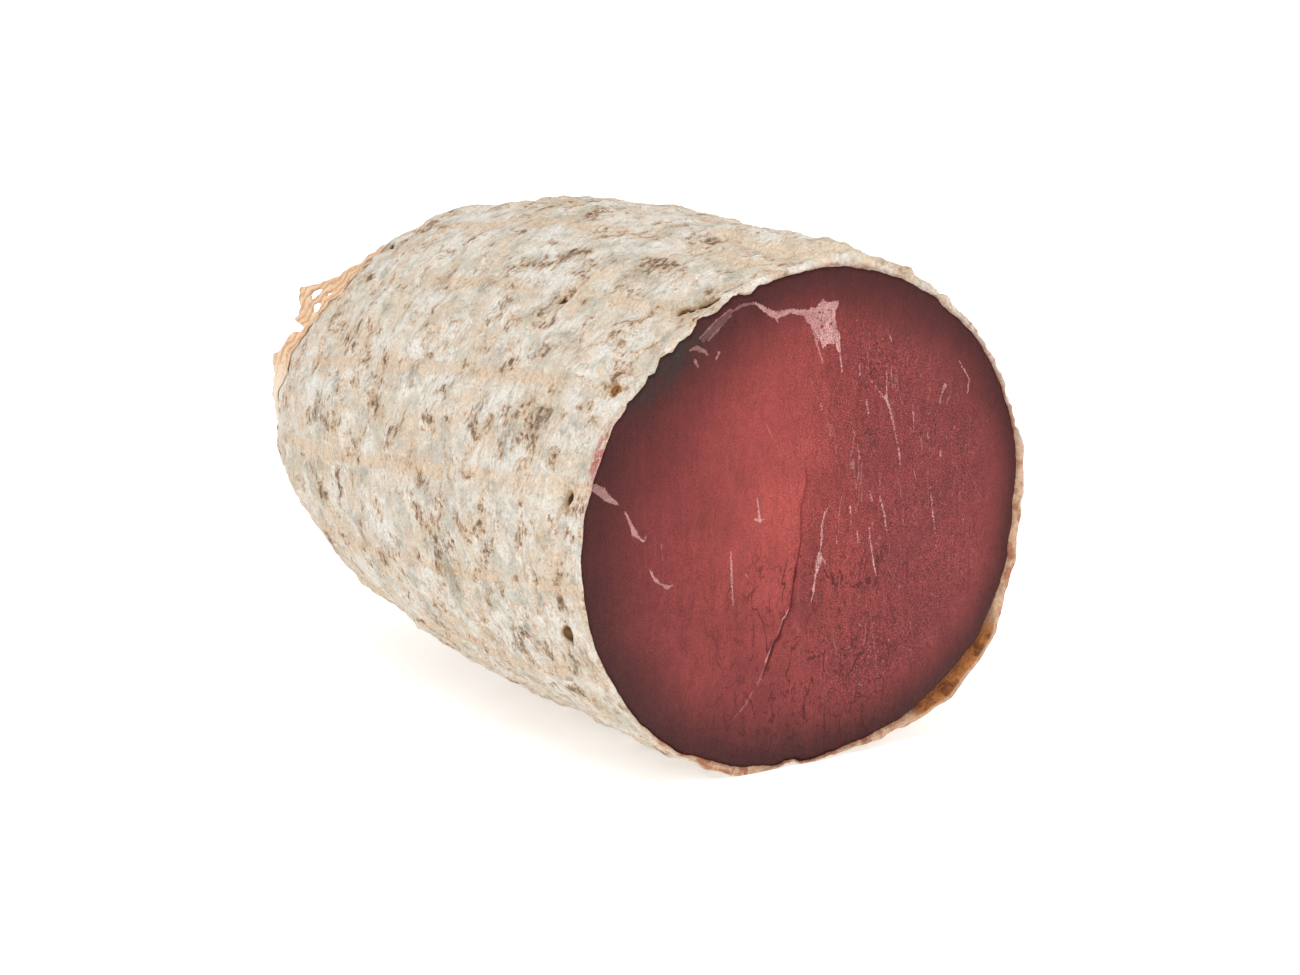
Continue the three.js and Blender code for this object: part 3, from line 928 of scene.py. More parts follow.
@dataclass
class Rind:
    """The casing with its mould, from the gap at the meat's edge round to the tip."""

    form: BodyForm
    frame: CutFrame
    columns: int = 460
    fine_step: float = 0.6
    fine_until: float = 13.0
    step: float = 1.03
    edge_depth: float = 0.9
    lift_depth: float = 2.4
    floor_depth: float = 9.0
    floor_inset: float = 2.6
    edge_rows: tuple[float, ...] = (0.0, 0.14, 0.3, 0.46, 0.62, 0.76, 0.88, 1.0)
    crags: Bumps = Bumps(5, 1.7, 12.0, 4)
    crumbs: Bumps = Bumps(6, 0.85, 3.2, 2)
    knobs: Bumps = Bumps(8, 1.0, 4.0, 3)
    knob_height: float = 2.8
    knob_level: float = 0.32
    cord_height: float = 0.3
    cord_half_width: float = 0.9
    cord_wander: Bumps = Bumps(7, 0.6, 16.0, 3)
    mark_raggedness: Bumps = Bumps(9, 1.3, 2.2, 3)
    edge_waves: Bumps = Bumps(21, 1.0, 3.4, 3)
    edge_teeth: Bumps = Bumps(25, 0.9, 1.9, 2)
    edge_lumps: Bumps = Bumps(22, 1.0, 2.0, 3)
    lifted_stretch: Span = (292.0, 302.0, 330.0, 342.0)
    ragged_stretch: Span = (-24.0, 0.0, 84.0, 104.0)
    worn_stretch: Span = (205.0, 225.0, 288.0, 300.0)
    overlap: float = 0.25
    least_gap: float = 0.35
    pits: tuple[Pit, ...] = (
        Pit(7.0, 169.0, 1.5, 2.7, 2.3, 0.3),
        Pit(8.2, 200.0, 2.0, 2.2, 1.3, 0.45),
        Pit(5.3, 142.8, 1.5, 1.4, 1.2, 0.9),
        Pit(6.0, 119.4, 1.0, 1.3, 1.8, 0.7),
        Pit(4.8, 117.7, 1.0, 1.3, 2.4, 0.0),
        Pit(3.7, 116.1, 1.0, 1.3, 2.4, 0.0),
        Pit(2.6, 114.6, 1.0, 1.3, 2.2, 0.0),
        Pit(1.8, 113.2, 0.9, 1.1, 1.4, 0.8),
        Pit(41.7, 127.0, 1.3, 1.2, 0.8, 0.3),
        Pit(55.7, 113.3, 0.8, 2.2, 0.9, 0.1),
        Pit(57.2, 119.0, 0.7, 1.8, 0.8, 0.1),
        Pit(132.2, 120.2, 0.9, 0.9, 0.8, 0.1),
        Pit(1.9, 81.0, 0.8, 3.4, 1.2, 0.2),
        Pit(3.0, 95.5, 0.6, 1.0, 0.8, 0.3),
    )
    stains: tuple[Stain, ...] = (
        Stain(52.0, 194.0, 3.0, 5.5, 1.0),
        Stain(57.0, 189.0, 3.0, 3.0, 0.7),
        Stain(31.0, 205.5, 2.5, 4.0, 0.8),
        Stain(11.0, 208.0, 2.5, 3.5, 0.7),
        Stain(21.0, 154.0, 2.0, 3.5, 0.9),
        Stain(29.0, 160.0, 2.5, 3.5, 0.8),
        Stain(119.0, 169.0, 3.0, 6.0, 0.9),
        Stain(69.0, 130.5, 3.0, 2.5, 1.0),
        Stain(44.0, 211.0, 2.5, 3.5, 0.7),
        Stain(28.0, 114.0, 3.0, 3.0, 1.0),
        Stain(38.0, 114.0, 3.0, 2.5, 0.8),
        Stain(54.0, 115.0, 2.2, 2.5, 1.0),
        Stain(60.0, 120.0, 2.5, 2.0, 0.8),
        Stain(135.0, 119.0, 1.5, 1.5, 1.0),
    )
    blushes: tuple[Blush, ...] = (
        Blush(158.0, 7.0, 0.6, 2.4, 1.0),
        Blush(30.0, 22.0, 0.2, 1.6, 0.6),
    )
    amber_pairs: Pairs = (
        (0, 0.26), (20, 0.22), (40, 0.12), (100, 0.1), (130, 0.05), (210, 0.05), (226, 0.24),
        (240, 0.42), (250, 0.46), (288, 0.46), (297, 0.6), (304, 1.0), (322, 1.0), (334, 0.6),
        (346, 0.3),
    )
    inner_pairs: Pairs = (
        (0, 0.25), (20, 0.2), (40, 0.25), (60, 0.3), (76, 0.75), (92, 0.65), (106, 0.4),
        (120, 0.1), (200, 0.1), (225, 0.15), (250, 0.25), (268, 0.6), (300, 0.6), (335, 0.3),
    )
    crumbly_ridges: tuple[Brush, ...] = (
        ((37.0, 88.0, 1.2), (30.0, 91.5, 1.8), (20.0, 92.0, 1.8), (10.0, 89.5, 2.2),
         (4.5, 80.0, 2.5), (3.0, 74.0, 1.5)),
        ((15.0, 103.0, 0.8), (10.0, 99.5, 1.2), (6.0, 94.0, 1.5), (1.5, 87.0, 1.5)),
    )

    def _crumbled(self, along: Array, angle: Array) -> Array:
        """How much the crumbly crust of the ridge covers each place."""
        flat = np.stack([np.ravel(along), np.ravel(angle)], axis=1)
        depth = [stroke_depth(flat, path) for path in self.crumbly_ridges]
        return smoothstep(np.max(depth, axis=0), -1.8, 0.8).reshape(np.shape(along))

    def _stations(self) -> Array:
        """Distances from the cut of the outer rings, evenly spaced over the surface."""
        fine = np.arange(self.fine_step, self.fine_until, self.fine_step)
        dense = np.linspace(self.fine_until, self.form.length, 6000)[:-1]
        side = self.form.plain(dense, np.full(len(dense), 180.0))
        top = self.form.plain(dense, np.full(len(dense), 90.0))
        spans = [np.linalg.norm(np.diff(line, axis=0), axis=1) for line in (side, top)]
        walked = np.concatenate([[0.0], np.cumsum(np.mean(spans, axis=0))])
        count = int(walked[-1] / self.step)
        return np.concatenate([fine, np.interp(np.linspace(0, walked[-1], count), walked, dense)])

    def _spot(self, along: Array, angle: Array, mark: Pit | Stain) -> Array:
        """The squared distance from a mark, in its own half-sizes."""
        off = np.mod(angle - mark.angle + 180.0, 360.0) - 180.0
        around = np.radians(off) * self.form.half_width
        round_it = (around / mark.half_around) ** 2 + ((along - mark.along) / mark.half_along) ** 2
        return round_it * np.exp(self.mark_raggedness.at(self.form.plain(along, angle)))

    def _off_cord(self, along: Array, angle: Array) -> Array:
        """The distance from the nearest long cord's print."""
        across = self.form.net.across_cords(along, angle)
        pitch = 2.0 * np.pi * self.form.half_width / self.form.net.cords
        wander = self.cord_wander.at(self.form.plain(along, angle))
        return np.abs((across - np.round(across)) * pitch + wander)

    def _off_hoop(self, along: Array, angle: Array) -> Array:
        """The distance from the nearest cross thread, staggered from field to field."""
        across = self.form.net.across_cords(along, angle)
        step = 1.7 * self.form.net.hoop_step
        bowed = 0.8 * np.sin(np.radians(angle) * 11.0)
        turn = (along + bowed) / step + 0.5 * np.mod(np.floor(across), 2.0)
        return np.abs(turn - np.round(turn)) * step

    def fine_relief(self, along: Array, angle: Array) -> Array:
        """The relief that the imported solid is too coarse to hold."""
        points = self.form.plain(along, angle) * np.array([1.0, 1.2, 1.0])
        height = self.crags.at(points) + self.crumbs.at(points)
        knobs = np.abs(self.knobs.at(points * np.array([1.0, 0.67, 1.0])))
        height += self.knob_height * (knobs - self.knob_level) * self._crumbled(along, angle)
        off_cord = self._off_cord(along, angle) / self.cord_half_width
        height += self.cord_height * np.exp(-(off_cord**2))
        for pit in self.pits:
            height -= pit.depth * np.exp(-(self._spot(along, angle, pit) ** 2))
        return height * smoothstep(self.form.length - along, 0.0, self.form.tip_fade / 2)

    def _edge(self, angle: Array) -> tuple[list[Array], list[Array], Array]:
        """The casing's edge, which faces the same way as the cut.

        Args:
            angle: the columns' angles.

        Returns:
            Its rings from the meat outwards, the amber of each, and how the outermost ring
            waves outwards.
        """
        form = self.form
        meat, casing = form.meat_edge(angle) + form.scallops(angle), form.casing_beyond(angle)
        gap = np.maximum(casing - meat, self.least_gap)
        # The casing has lifted off the meat at the lower right.
        lift = smoothstep(gap, 1.6, 3.4) * stretch(angle, self.lifted_stretch)
        oval = form.oval(angle, casing, 0.0)
        # It is ragged from the right to the top, and half as much at the bottom.
        turned = np.mod(angle + 60.0, 360.0) - 60.0
        ragged = stretch(turned, self.ragged_stretch)
        ragged = ragged + 0.5 * stretch(angle, self.worn_stretch)
        swing = 0.3 + 0.3 * smoothstep(gap, 0.6, 2.4) + 0.7 * ragged
        wave = self.edge_waves.at(oval) * swing + self.edge_teeth.at(oval) * ragged
        wave = np.maximum(wave - 0.4 * ragged, 0.3 - gap)
        tint = curve_through(self.amber_pairs, 360.0)(angle)
        rings, ambers = [], []
        for share in self.edge_rows:
            beyond = meat - self.overlap + (gap + self.overlap) * share + wave * share
            ring = form.oval(angle, beyond, 0.0)
            swell = math.sin(math.pi * min(1.0, 0.25 + 0.75 * share))
            plain = self.edge_depth * float(fall(share, 0.0, 0.4))
            plain = plain - form.lip_proud * swell
            sloped = self.lift_depth * float(fall(share, 0.1, 1.0))
            lumps = self.edge_lumps.at(ring + 40.0) * np.minimum(0.7, 0.3 * gap)
            depth = plain * (1.0 - lift) + sloped * lift + lumps * math.sin(math.pi * share)
            ring[:, 1] = np.maximum(depth, -form.lip_proud)
            rings.append(form.rest(ring, form.min_casing * (1.0 - share)))
            ambers.append(tint * (1.0 - 0.45 * float(smoothstep(share, 0.75, 1.0))))
        return rings, ambers, wave

    def build(self) -> bpy.types.Object:
        """Builds the rind's mesh."""
        form = self.form
        angle = np.arange(self.columns) * 360.0 / self.columns
        rows, ambers, wave = self._edge(angle)
        floor = form.oval(angle, form.meat_edge(angle) - self.floor_inset, self.floor_depth)
        rows.insert(0, form.rest(floor, form.min_casing))
        ambers.insert(0, ambers[0])
        edge_rows = len(rows)
        outer_amber = ambers[-1]
        stations = self._stations()
        for along in stations:
            here = np.full(self.columns, along)
            fine = self.fine_relief(here, angle) * (0.35 + 0.65 * smoothstep(along, 0.0, 5.0))
            fine = fine * smoothstep(along, 0.0, 1.2) + wave * fall(along, 0.0, 3.5)
            rows.append(form.rest(form.rind_points(here, angle, fine)))
            ambers.append(outer_amber * fall(along, 0.0, 1.5 + 5.0 * outer_amber))
        points = np.concatenate([[[0.0, self.floor_depth, 0.0]], *rows, [[0.0, form.length, 0.0]]])
        along_rows = np.concatenate([np.zeros(edge_rows), stations])
        grid_along, grid_angle = np.meshgrid(along_rows, angle, indexing="ij")
        values = self._paint(grid_along, grid_angle)
        values["amber"] = np.array(ambers)
        shares = np.concatenate([[0.0], self.edge_rows, np.ones(len(stations))])
        inner = curve_through(self.inner_pairs, 360.0)(angle)
        values["inner"] = fall(shares, 0.2, 0.62)[:, None] * inner[None, :]
        corners = {label: np.concatenate([[0.0], grid.ravel(), [0.0]])
                   for label, grid in values.items()}
        faces = ring_faces(len(rows), self.columns)
        return make_piece("rind", self.frame.to_world(points), faces, corners)

    def _paint(self, along: Array, angle: Array) -> dict[str, Array]:
        """The numbers that the rind's material reads."""
        stain = sum(mark.strength * np.exp(-self._spot(along, angle, mark)) for mark in self.stains)
        holes = [np.exp(-(self._spot(along, angle, pit) ** 2)) for pit in self.pits]
        golden = sum(pit.amber * here for pit, here in zip(self.pits, holes))
        blush = sum(mark.at(along, angle) for mark in self.blushes)
        return {
            "off_cord": np.clip(self._off_cord(along, angle), 0.0, 6.0),
            "off_hoop": np.clip(self._off_hoop(along, angle), 0.0, 6.0),
            "stain": np.clip(stain, 0.0, 1.0),
            "hole": np.clip(sum(holes), 0.0, 1.0),
            "golden": np.clip(golden, 0.0, 1.0),
            "ridge": self._crumbled(along, angle),
            "blush": np.clip(blush, 0.0, 1.0),
        }


# ---- the cut meat --------------------------------------------------------------------------


class Line(Enum):
    """What a line on the cut face is."""

    FAT = "fat"
    SEAM = "seam"


@dataclass(frozen=True)
class Stroke:
    """A line on the cut face: (x, z, half-width) along it, in millimetres."""

    kind: Line
    path: Brush
    strength: float = 1.0


@dataclass(frozen=True)
class MeatFinish:
    """The colours of the cut meat."""

    lean: Rgb = (126, 50, 48)
    # Painted sheen: the greyer, pinker colour of the right side.
    right_sheen: Rgb = (125, 53, 52)
    # The bright lobe's colour: partly the muscle's own, partly a painted highlight.
    lobe_and_highlight: Rgb = (165, 71, 66)
    crust: Rgb = (70, 26, 25)
    lean_low: Rgb = (134, 56, 54)
    crust_low: Rgb = (67, 31, 29)
    soot: Rgb = (54, 41, 37)
    fat: Rgb = (200, 150, 146)
    crack: Rgb = (80, 24, 26)

    def dress(self, effects: Effects) -> bpy.types.Material:
        """Builds the cut meat's material."""
        finish = Finish("cut_meat", Specular_IOR_Level=0.2)
        g = finish.graph
        place = g.place()
        fibres = g.vector("MULTIPLY", place, (1.0, 1.0, 0.16))
        upright = g.vector("MULTIPLY", place, (1.0, 1.0, 0.4))
        cloud = g.effect(effects.grain, Place=place, Size=13.0, Contrast=0.35)
        streaks = g.effect(effects.grain, Place=fibres, Size=2.0, Contrast=0.2)
        # The grain is coarser and paler on the right of the seam.
        dashes = g.effect(effects.grain, Place=upright, Size=0.8,
                          Contrast=g.plus(0.3, g.times(g.value("veined"), 0.3)))
        fine = g.effect(effects.grain, Place=place, Size=0.36,
                        Contrast=g.plus(1.0, g.times(g.value("veined"), 1.3)))
        blots = g.effect(effects.patches, Place=place, Size=2.6, Level=0.5, Softness=0.16)
        veins = g.effect(effects.threads, Place=fibres, Size=3.4, Width=0.006, Breaks=0.6)
        flecks = g.effect(effects.patches, Place=g.vector("MULTIPLY", place, (1.0, 1.0, 0.6)),
                          Size=0.9, Level=0.7, Softness=0.04, Detail=2.0)
        cracks = g.effect(effects.threads, Place=upright, Size=4.2, Width=0.009, Breaks=0.5)
        creases = g.effect(effects.threads, Place=g.vector("MULTIPLY", place, (1.0, 1.0, 0.7)),
                           Size=2.2, Width=0.014, Breaks=0.53)

        coat = Coat(g, self.lean)
        coat.over(g.value("low"), 1.0, self.lean_low)
        # Painted sheen: the right side is made greyer and pinker, as a sheen of light would make
        # it.
        coat.over(g.value("right_sheen"), 0.8, self.right_sheen)
        # The bright lobe: partly the muscle's own colour, partly a painted highlight.
        coat.over(g.value("lobe_and_highlight"), 1.0, self.lobe_and_highlight)
        dry = g.mix(g.value("low"), linear(*self.crust), linear(*self.crust_low))
        coat.over(g.value("crust"), 1.0, dry)
        coat.over(g.times(g.value("soot"), g.window(blots.outputs["Height"], 0.3, 0.56)),
                  1.0, self.soot)
        coat.shade(cloud.outputs["Factor"])
        coat.shade(streaks.outputs["Factor"])
        coat.shade(dashes.outputs["Factor"])
        split = g.times(cracks.outputs["Mask"], g.value("cracked"))
        coat.over(split, 0.8, self.crack)
        crease = g.times(creases.outputs["Mask"], g.value("cracked"))
        coat.over(crease, 0.5, self.crack)
        faint = g.times(veins.outputs["Mask"], g.value("veined"))
        coat.over(faint, 0.3, self.fat)
        coat.over(g.times(flecks.outputs["Mask"], g.value("veined")), 0.25, self.fat)
        wobble = g.times(g.minus(fine.outputs["Height"], 0.5), 0.8)
        wobble = g.plus(wobble, g.times(g.minus(dashes.outputs["Height"], 0.5), 0.9))
        fat = g.window(g.plus(g.value("fat"), wobble), -0.06, 0.13)
        patchy = g.plus(0.62, g.times(blots.outputs["Mask"], 0.38))
        coat.over(g.times(fat, g.times(g.value("fat_strength"), patchy)),
                  1.0, self.fat)
        seam = g.window(g.plus(g.value("seam"), g.times(wobble, 0.6)), -0.05, 0.12)
        coat.over(seam, 0.8, self.crack)
        coat.shade(fine.outputs["Factor"])
        # Painted highlights: pale specks on the tops of the fine grain, where light would glint.
        painted_glints = g.times(g.window(fine.outputs["Height"], 0.56, 0.7), g.value("veined"))
        coat.over(painted_glints, 0.22, self.fat)

        height = g.times(fine.outputs["Height"], 0.4)
        height = g.plus(height, g.times(dashes.outputs["Height"], 0.6))
        height = g.minus(height, g.times(g.math("MAXIMUM", split, crease), 0.35))
        rough = g.plus(0.36, g.times(fine.outputs["Height"], 0.25))
        return finish.finish(coat.colour, rough, height, 0.6)


@dataclass
class CutMeat:
    """The lean meat at the cut, with its fat, its seam and its dry dark edge."""

    form: BodyForm
    frame: CutFrame
    grid: float = 0.45
    stroke_step: float = 0.3
    boundary_points: int = 900
    thickness: float = 8.0
    inset: float = 3.2
    warp: Bumps = Bumps(51, 0.16, 16.0, 2)
    fibres: Bumps = Bumps(52, 0.05, 1.6, 2)
    fraying: Bumps = Bumps(33, 0.42, 1.7, 3)
    edge_drop: float = 0.5
    seam_depth: float = 0.45
    fat_height: float = 0.08
    star: tuple[tuple[float, float], ...] = (
        (-1.6, 46.9), (0.6, 47.6), (1.6, 47.4), (3.1, 49.2), (4.6, 48.3), (8.0, 48.2),
        (7.0, 46.3), (6.5, 44.4), (6.9, 42.9), (8.3, 39.6), (7.3, 38.9), (5.9, 38.7),
        (4.6, 38.9), (3.5, 38.2), (2.6, 40.2), (1.4, 41.3), (0.2, 43.2), (-1.1, 44.4),
    )
    star_holes: Brush = (
        (2.4, 46.3, 0.35), (5.0, 46.4, 0.3), (3.2, 42.9, 0.45), (5.6, 43.2, 0.25),
    )
    star_cuts: tuple[Brush, ...] = (
        ((0.6, 45.6, 0.05), (2.4, 44.4, 0.14), (3.6, 43.4, 0.05)),
        ((1.0, 44.2, 0.05), (2.0, 42.4, 0.12), (3.0, 40.6, 0.05)),
        ((2.6, 44.6, 0.05), (4.0, 43.9, 0.1), (4.9, 42.9, 0.04)),
        ((3.2, 48.0, 0.04), (3.4, 46.8, 0.12), (3.1, 45.6, 0.05)),
        ((5.8, 47.4, 0.04), (5.4, 46.0, 0.1), (5.6, 45.0, 0.04)),
        ((2.0, 45.4, 0.05), (3.2, 44.9, 0.1), (4.4, 44.9, 0.04)),
    )
    strokes: tuple[Stroke, ...] = (
        Stroke(Line.FAT, ((-1.2, 46.5, 0.7), (-5.3, 47.3, 0.5), (-9.0, 46.8, 0.85),
                          (-11.1, 47.8, 0.65), (-14.5, 50.1, 0.25)), 0.85),
        Stroke(Line.FAT, ((-9.0, 46.4, 0.5), (-8.5, 45.0, 0.15)), 0.8),
        Stroke(Line.FAT, ((7.4, 39.0, 0.6), (8.0, 36.6, 0.3), (8.7, 32.3, 0.1)), 0.9),
        Stroke(Line.FAT, ((1.0, 42.2, 0.5), (2.2, 38.4, 0.2), (3.6, 34.4, 0.08)), 0.6),
        Stroke(Line.FAT, ((-28.8, 44.0, 0.2), (-24.9, 47.1, 0.3), (-21.0, 49.3, 0.2)), 0.4),
        Stroke(Line.FAT, ((-28.0, 43.5, 0.5), (-24.4, 46.3, 0.9), (-21.0, 48.7, 0.4)), 0.16),
        Stroke(Line.FAT, ((-26.7, 43.2, 0.15), (-24.0, 45.5, 0.25), (-20.8, 48.0, 0.15)), 0.4),
        Stroke(Line.FAT, ((-21.0, 48.7, 0.3), (-18.0, 49.9, 0.4), (-14.5, 50.1, 0.25)), 0.3),
        Stroke(Line.FAT, ((-5.0, -19.2, 0.14), (-6.4, -21.2, 0.3), (-7.8, -24.4, 0.2)), 0.8),
        Stroke(Line.FAT, ((-8.9, -26.0, 0.1), (-10.0, -28.0, 0.5), (-11.0, -30.2, 0.3)), 0.7),
        Stroke(Line.FAT, ((-31.3, 41.7, 0.3), (-29.5, 41.9, 0.55), (-27.5, 40.9, 0.4),
                          (-26.7, 40.1, 0.2)), 0.5),
        Stroke(Line.FAT, ((-30.0, 39.2, 0.4), (-29.3, 37.8, 0.2)), 0.55),
        Stroke(Line.FAT, ((-24.4, 39.0, 0.25), (-23.9, 40.4, 0.15)), 0.5),
        Stroke(Line.FAT, ((-55.4, 14.7, 0.9), (-53.8, 13.6, 1.1), (-52.2, 12.0, 0.8),
                          (-50.9, 11.1, 0.45), (-49.4, 10.2, 0.2)), 0.7),
        Stroke(Line.FAT, ((-47.9, 8.5, 0.15), (-46.6, 5.8, 0.35), (-45.6, 3.6, 0.7),
                          (-44.3, 2.3, 0.3), (-43.1, 1.3, 0.12)), 0.85),
        Stroke(Line.FAT, ((-43.1, 1.3, 0.15), (-41.8, 3.3, 0.12)), 0.6),
        Stroke(Line.FAT, ((-38.7, 0.4, 0.12), (-38.2, -3.4, 0.12)), 0.55),
        Stroke(Line.FAT, ((-41.5, -5.1, 0.1), (-40.3, -7.5, 0.5), (-38.6, -8.8, 0.2),
                          (-36.9, -9.8, 0.35), (-35.6, -9.4, 0.12)), 0.8),
        Stroke(Line.FAT, ((-13.7, 7.0, 0.1), (-13.2, 3.5, 0.15), (-12.9, 1.8, 0.55)), 0.85),
        Stroke(Line.FAT, ((-14.4, 2.4, 0.12), (-12.9, 1.8, 0.4), (-11.6, 2.1, 0.12)), 0.8),
        Stroke(Line.FAT, ((5.8, 3.0, 0.08), (4.5, 1.2, 0.12), (3.7, -1.2, 0.2), (3.7, -4.6, 0.26),
                          (3.2, -7.0, 0.12), (3.0, -8.9, 0.8), (2.5, -11.0, 0.55),
                          (1.9, -13.4, 0.22), (1.5, -15.4, 0.32), (0.9, -18.4, 0.14)), 0.95),
        Stroke(Line.FAT, ((3.5, -8.4, 0.25), (4.7, -10.3, 0.1)), 0.7),
        Stroke(Line.FAT, ((20.9, 32.2, 0.08), (20.9, 28.5, 0.14), (20.8, 25.0, 0.2),
                          (21.9, 22.4, 0.34), (22.7, 19.4, 0.18), (23.6, 15.6, 0.14),
                          (24.0, 14.4, 0.16)), 0.9),
        Stroke(Line.FAT, ((24.4, 13.2, 0.1), (24.6, 11.6, 0.16), (24.9, 9.4, 0.08)), 0.75),
        Stroke(Line.FAT, ((16.6, 29.6, 0.06), (18.6, 27.0, 0.1), (20.7, 24.6, 0.16)), 0.7),
        Stroke(Line.FAT, ((35.9, 12.8, 0.1), (36.1, 9.9, 0.14)), 0.6),
        Stroke(Line.FAT, ((28.5, 18.4, 0.12), (28.4, 16.4, 0.08)), 0.6),
        Stroke(Line.FAT, ((32.3, 15.8, 0.08), (32.6, 14.4, 0.12)), 0.6),
        Stroke(Line.FAT, ((7.5, -2.1, 0.08), (7.7, -6.2, 0.1)), 0.5),
        Stroke(Line.FAT, ((2.0, 27.6, 0.1), (3.6, 24.2, 0.12)), 0.5),
        Stroke(Line.FAT, ((5.0, 19.8, 0.12), (6.6, 16.4, 0.08), (8.1, 12.5, 0.1)), 0.5),
        Stroke(Line.FAT, ((-11.3, 23.0, 0.06), (-9.9, 20.1, 0.1)), 0.55),
        Stroke(Line.FAT, ((10.6, 22.2, 0.08), (12.6, 17.0, 0.07), (13.7, 12.4, 0.1)), 0.45),
        Stroke(Line.FAT, ((28.0, 9.4, 0.1), (29.5, 4.7, 0.08)), 0.5),
        Stroke(Line.FAT, ((-16.6, -9.7, 0.14), (-15.6, -10.8, 0.1)), 0.6),
        Stroke(Line.FAT, ((19.4, 3.0, 0.18), (20.6, -1.2, 0.25), (21.5, -5.7, 0.1)), 0.85),
        Stroke(Line.FAT, ((16.5, -3.8, 0.1), (17.2, -9.0, 0.22), (18.6, -14.9, 0.12)), 0.85),
        Stroke(Line.FAT, ((11.2, 1.9, 0.18), (11.5, -0.5, 0.18), (11.6, -2.3, 0.1)), 0.8),
        Stroke(Line.FAT, ((13.2, -4.1, 0.12), (13.5, -6.6, 0.25)), 0.8),
        Stroke(Line.FAT, ((33.2, 3.7, 0.1), (33.9, -2.1, 0.2), (35.4, -9.7, 0.1)), 0.7),
        Stroke(Line.FAT, ((40.8, 31.0, 0.1), (42.8, 28.0, 0.2), (43.7, 26.4, 0.3),
                          (43.2, 23.5, 0.12)), 0.75),
        Stroke(Line.FAT, ((37.0, 26.0, 0.4), (36.0, 24.0, 0.2), (35.4, 21.7, 0.1)), 0.55),
        Stroke(Line.FAT, ((28.2, 21.0, 0.16), (28.5, 18.7, 0.1)), 0.7),
        Stroke(Line.FAT, ((15.3, 25.2, 0.2), (16.1, 21.8, 0.12)), 0.75),
        Stroke(Line.FAT, ((13.5, 33.5, 0.12), (13.6, 31.0, 0.1)), 0.6),
        Stroke(Line.FAT, ((21.6, 39.1, 0.2), (22.2, 37.2, 0.12)), 0.7),
        Stroke(Line.FAT, ((-20.5, -4.1, 0.15), (-20.3, -10.0, 0.3), (-19.9, -16.1, 0.12)), 0.75),
        Stroke(Line.FAT, ((14.7, 8.4, 0.3),), 0.8),
        Stroke(Line.FAT, ((16.4, 4.6, 0.2), (17.2, 2.4, 0.2)), 0.7),
        Stroke(Line.FAT, ((-14.2, -36.0, 0.12), (-16.8, -39.4, 0.2), (-20.6, -42.4, 0.12)), 0.3),
        Stroke(Line.FAT, ((-11.0, -31.2, 0.3), (-12.2, -33.2, 0.5), (-13.4, -35.2, 0.2)), 0.3),
        Stroke(Line.SEAM, ((-0.7, 12.0, 0.02), (-0.2, 8.8, 0.1), (-1.7, 3.4, 0.12),
                           (-1.7, -4.5, 0.14), (-3.5, -12.1, 0.16), (-4.4, -19.0, 0.22),
                           (-5.6, -21.4, 0.2), (-6.2, -21.6, 0.3), (-7.4, -25.4, 0.45),
                           (-8.7, -26.4, 0.5), (-10.4, -30.6, 0.3), (-12.0, -33.6, 0.08))),
    )
    # Where the bright lobe lies: partly the muscle's own colour, partly a painted highlight.
    highlight_lobe_middle: float = -7.5
    highlight_lobe_half_width: float = 17.5
    highlight_lobe_pairs: Pairs = (
        (-34.0, 0.0), (-24.0, 0.28), (-12.0, 0.8), (4.0, 1.0), (24.0, 0.66), (42.0, 0.4),
        (54.0, 0.05),
    )
    # A darker strip runs along the right of the seam.
    strip_across: Span = (-0.15, 0.35, 2.0, 16.0)
    strip_upright: Span = (-28.0, -16.0, 6.0, 15.0)
    crust_pairs: Pairs = (
        (0, 9), (30, 14), (60, 19), (90, 19), (120, 26), (150, 29), (180, 27), (210, 22),
        (240, 20), (270, 18), (300, 14), (330, 10),
    )

    def _outline(self) -> Array:
        """The meat's edge as a closed flat outline, a little scalloped."""
        angle = np.arange(self.boundary_points) * 360.0 / self.boundary_points
        beyond = self.form.meat_edge(angle) + self.form.scallops(angle)
        edge = self.form.oval(angle, beyond, 0.0)
        return self.form.rest(edge, self.form.min_casing)[:, [0, 2]]

    def _spread(self, outline: Array) -> Array:
        """Flat points over the face, closer together along the strokes."""
        rng = np.random.default_rng(3)
        half = max(self.form.half_width, self.form.half_height) + 2.0
        steps = np.arange(-half, half, self.grid)
        base = np.stack(np.meshgrid(steps, steps), axis=-1).reshape(-1, 2)
        base[:, 0] += np.where((np.round((base[:, 1] + half) / self.grid) % 2) == 1,
                               self.grid / 2, 0.0)
        base += rng.uniform(-0.2, 0.2, base.shape) * self.grid
        extra = [np.empty((0, 2))]
        for stroke in self.strokes:
            for (x0, z0, w0), (x1, z1, w1) in zip(stroke.path[:-1], stroke.path[1:]):
                length = math.hypot(x1 - x0, z1 - z0)
                share = np.linspace(0, 1, max(2, int(length / self.stroke_step)))[:, None]
                middle = np.array([x0, z0]) * (1 - share) + np.array([x1, z1]) * share
                sideways = np.array([z1 - z0, x0 - x1]) / max(length, 1e-6)
                width = w0 + (w1 - w0) * share
                for offset in (-1.0, -0.5, 0.0, 0.5, 1.0):
                    extra.append(middle + sideways * offset * (width + 0.12))
        spread = np.concatenate([base, *extra])
        return spread[outline_depth(spread, outline) > 0.35 * self.grid]

    def build(self) -> bpy.types.Object:
        """Builds the cut meat's mesh: the face, its side and its hidden back."""
        outline = self._outline()
        flat = np.concatenate([outline, self._spread(outline)])
        count = len(outline)
        ring = [[side, (side + 1) % count] for side in range(count)]
        corners = [Vector(point) for point in flat.tolist()]
        found, _, faces, *_ = delaunay_2d_cdt(corners, ring, [], 1, 1e-5, False)
        flat = np.array([list(corner) for corner in found])
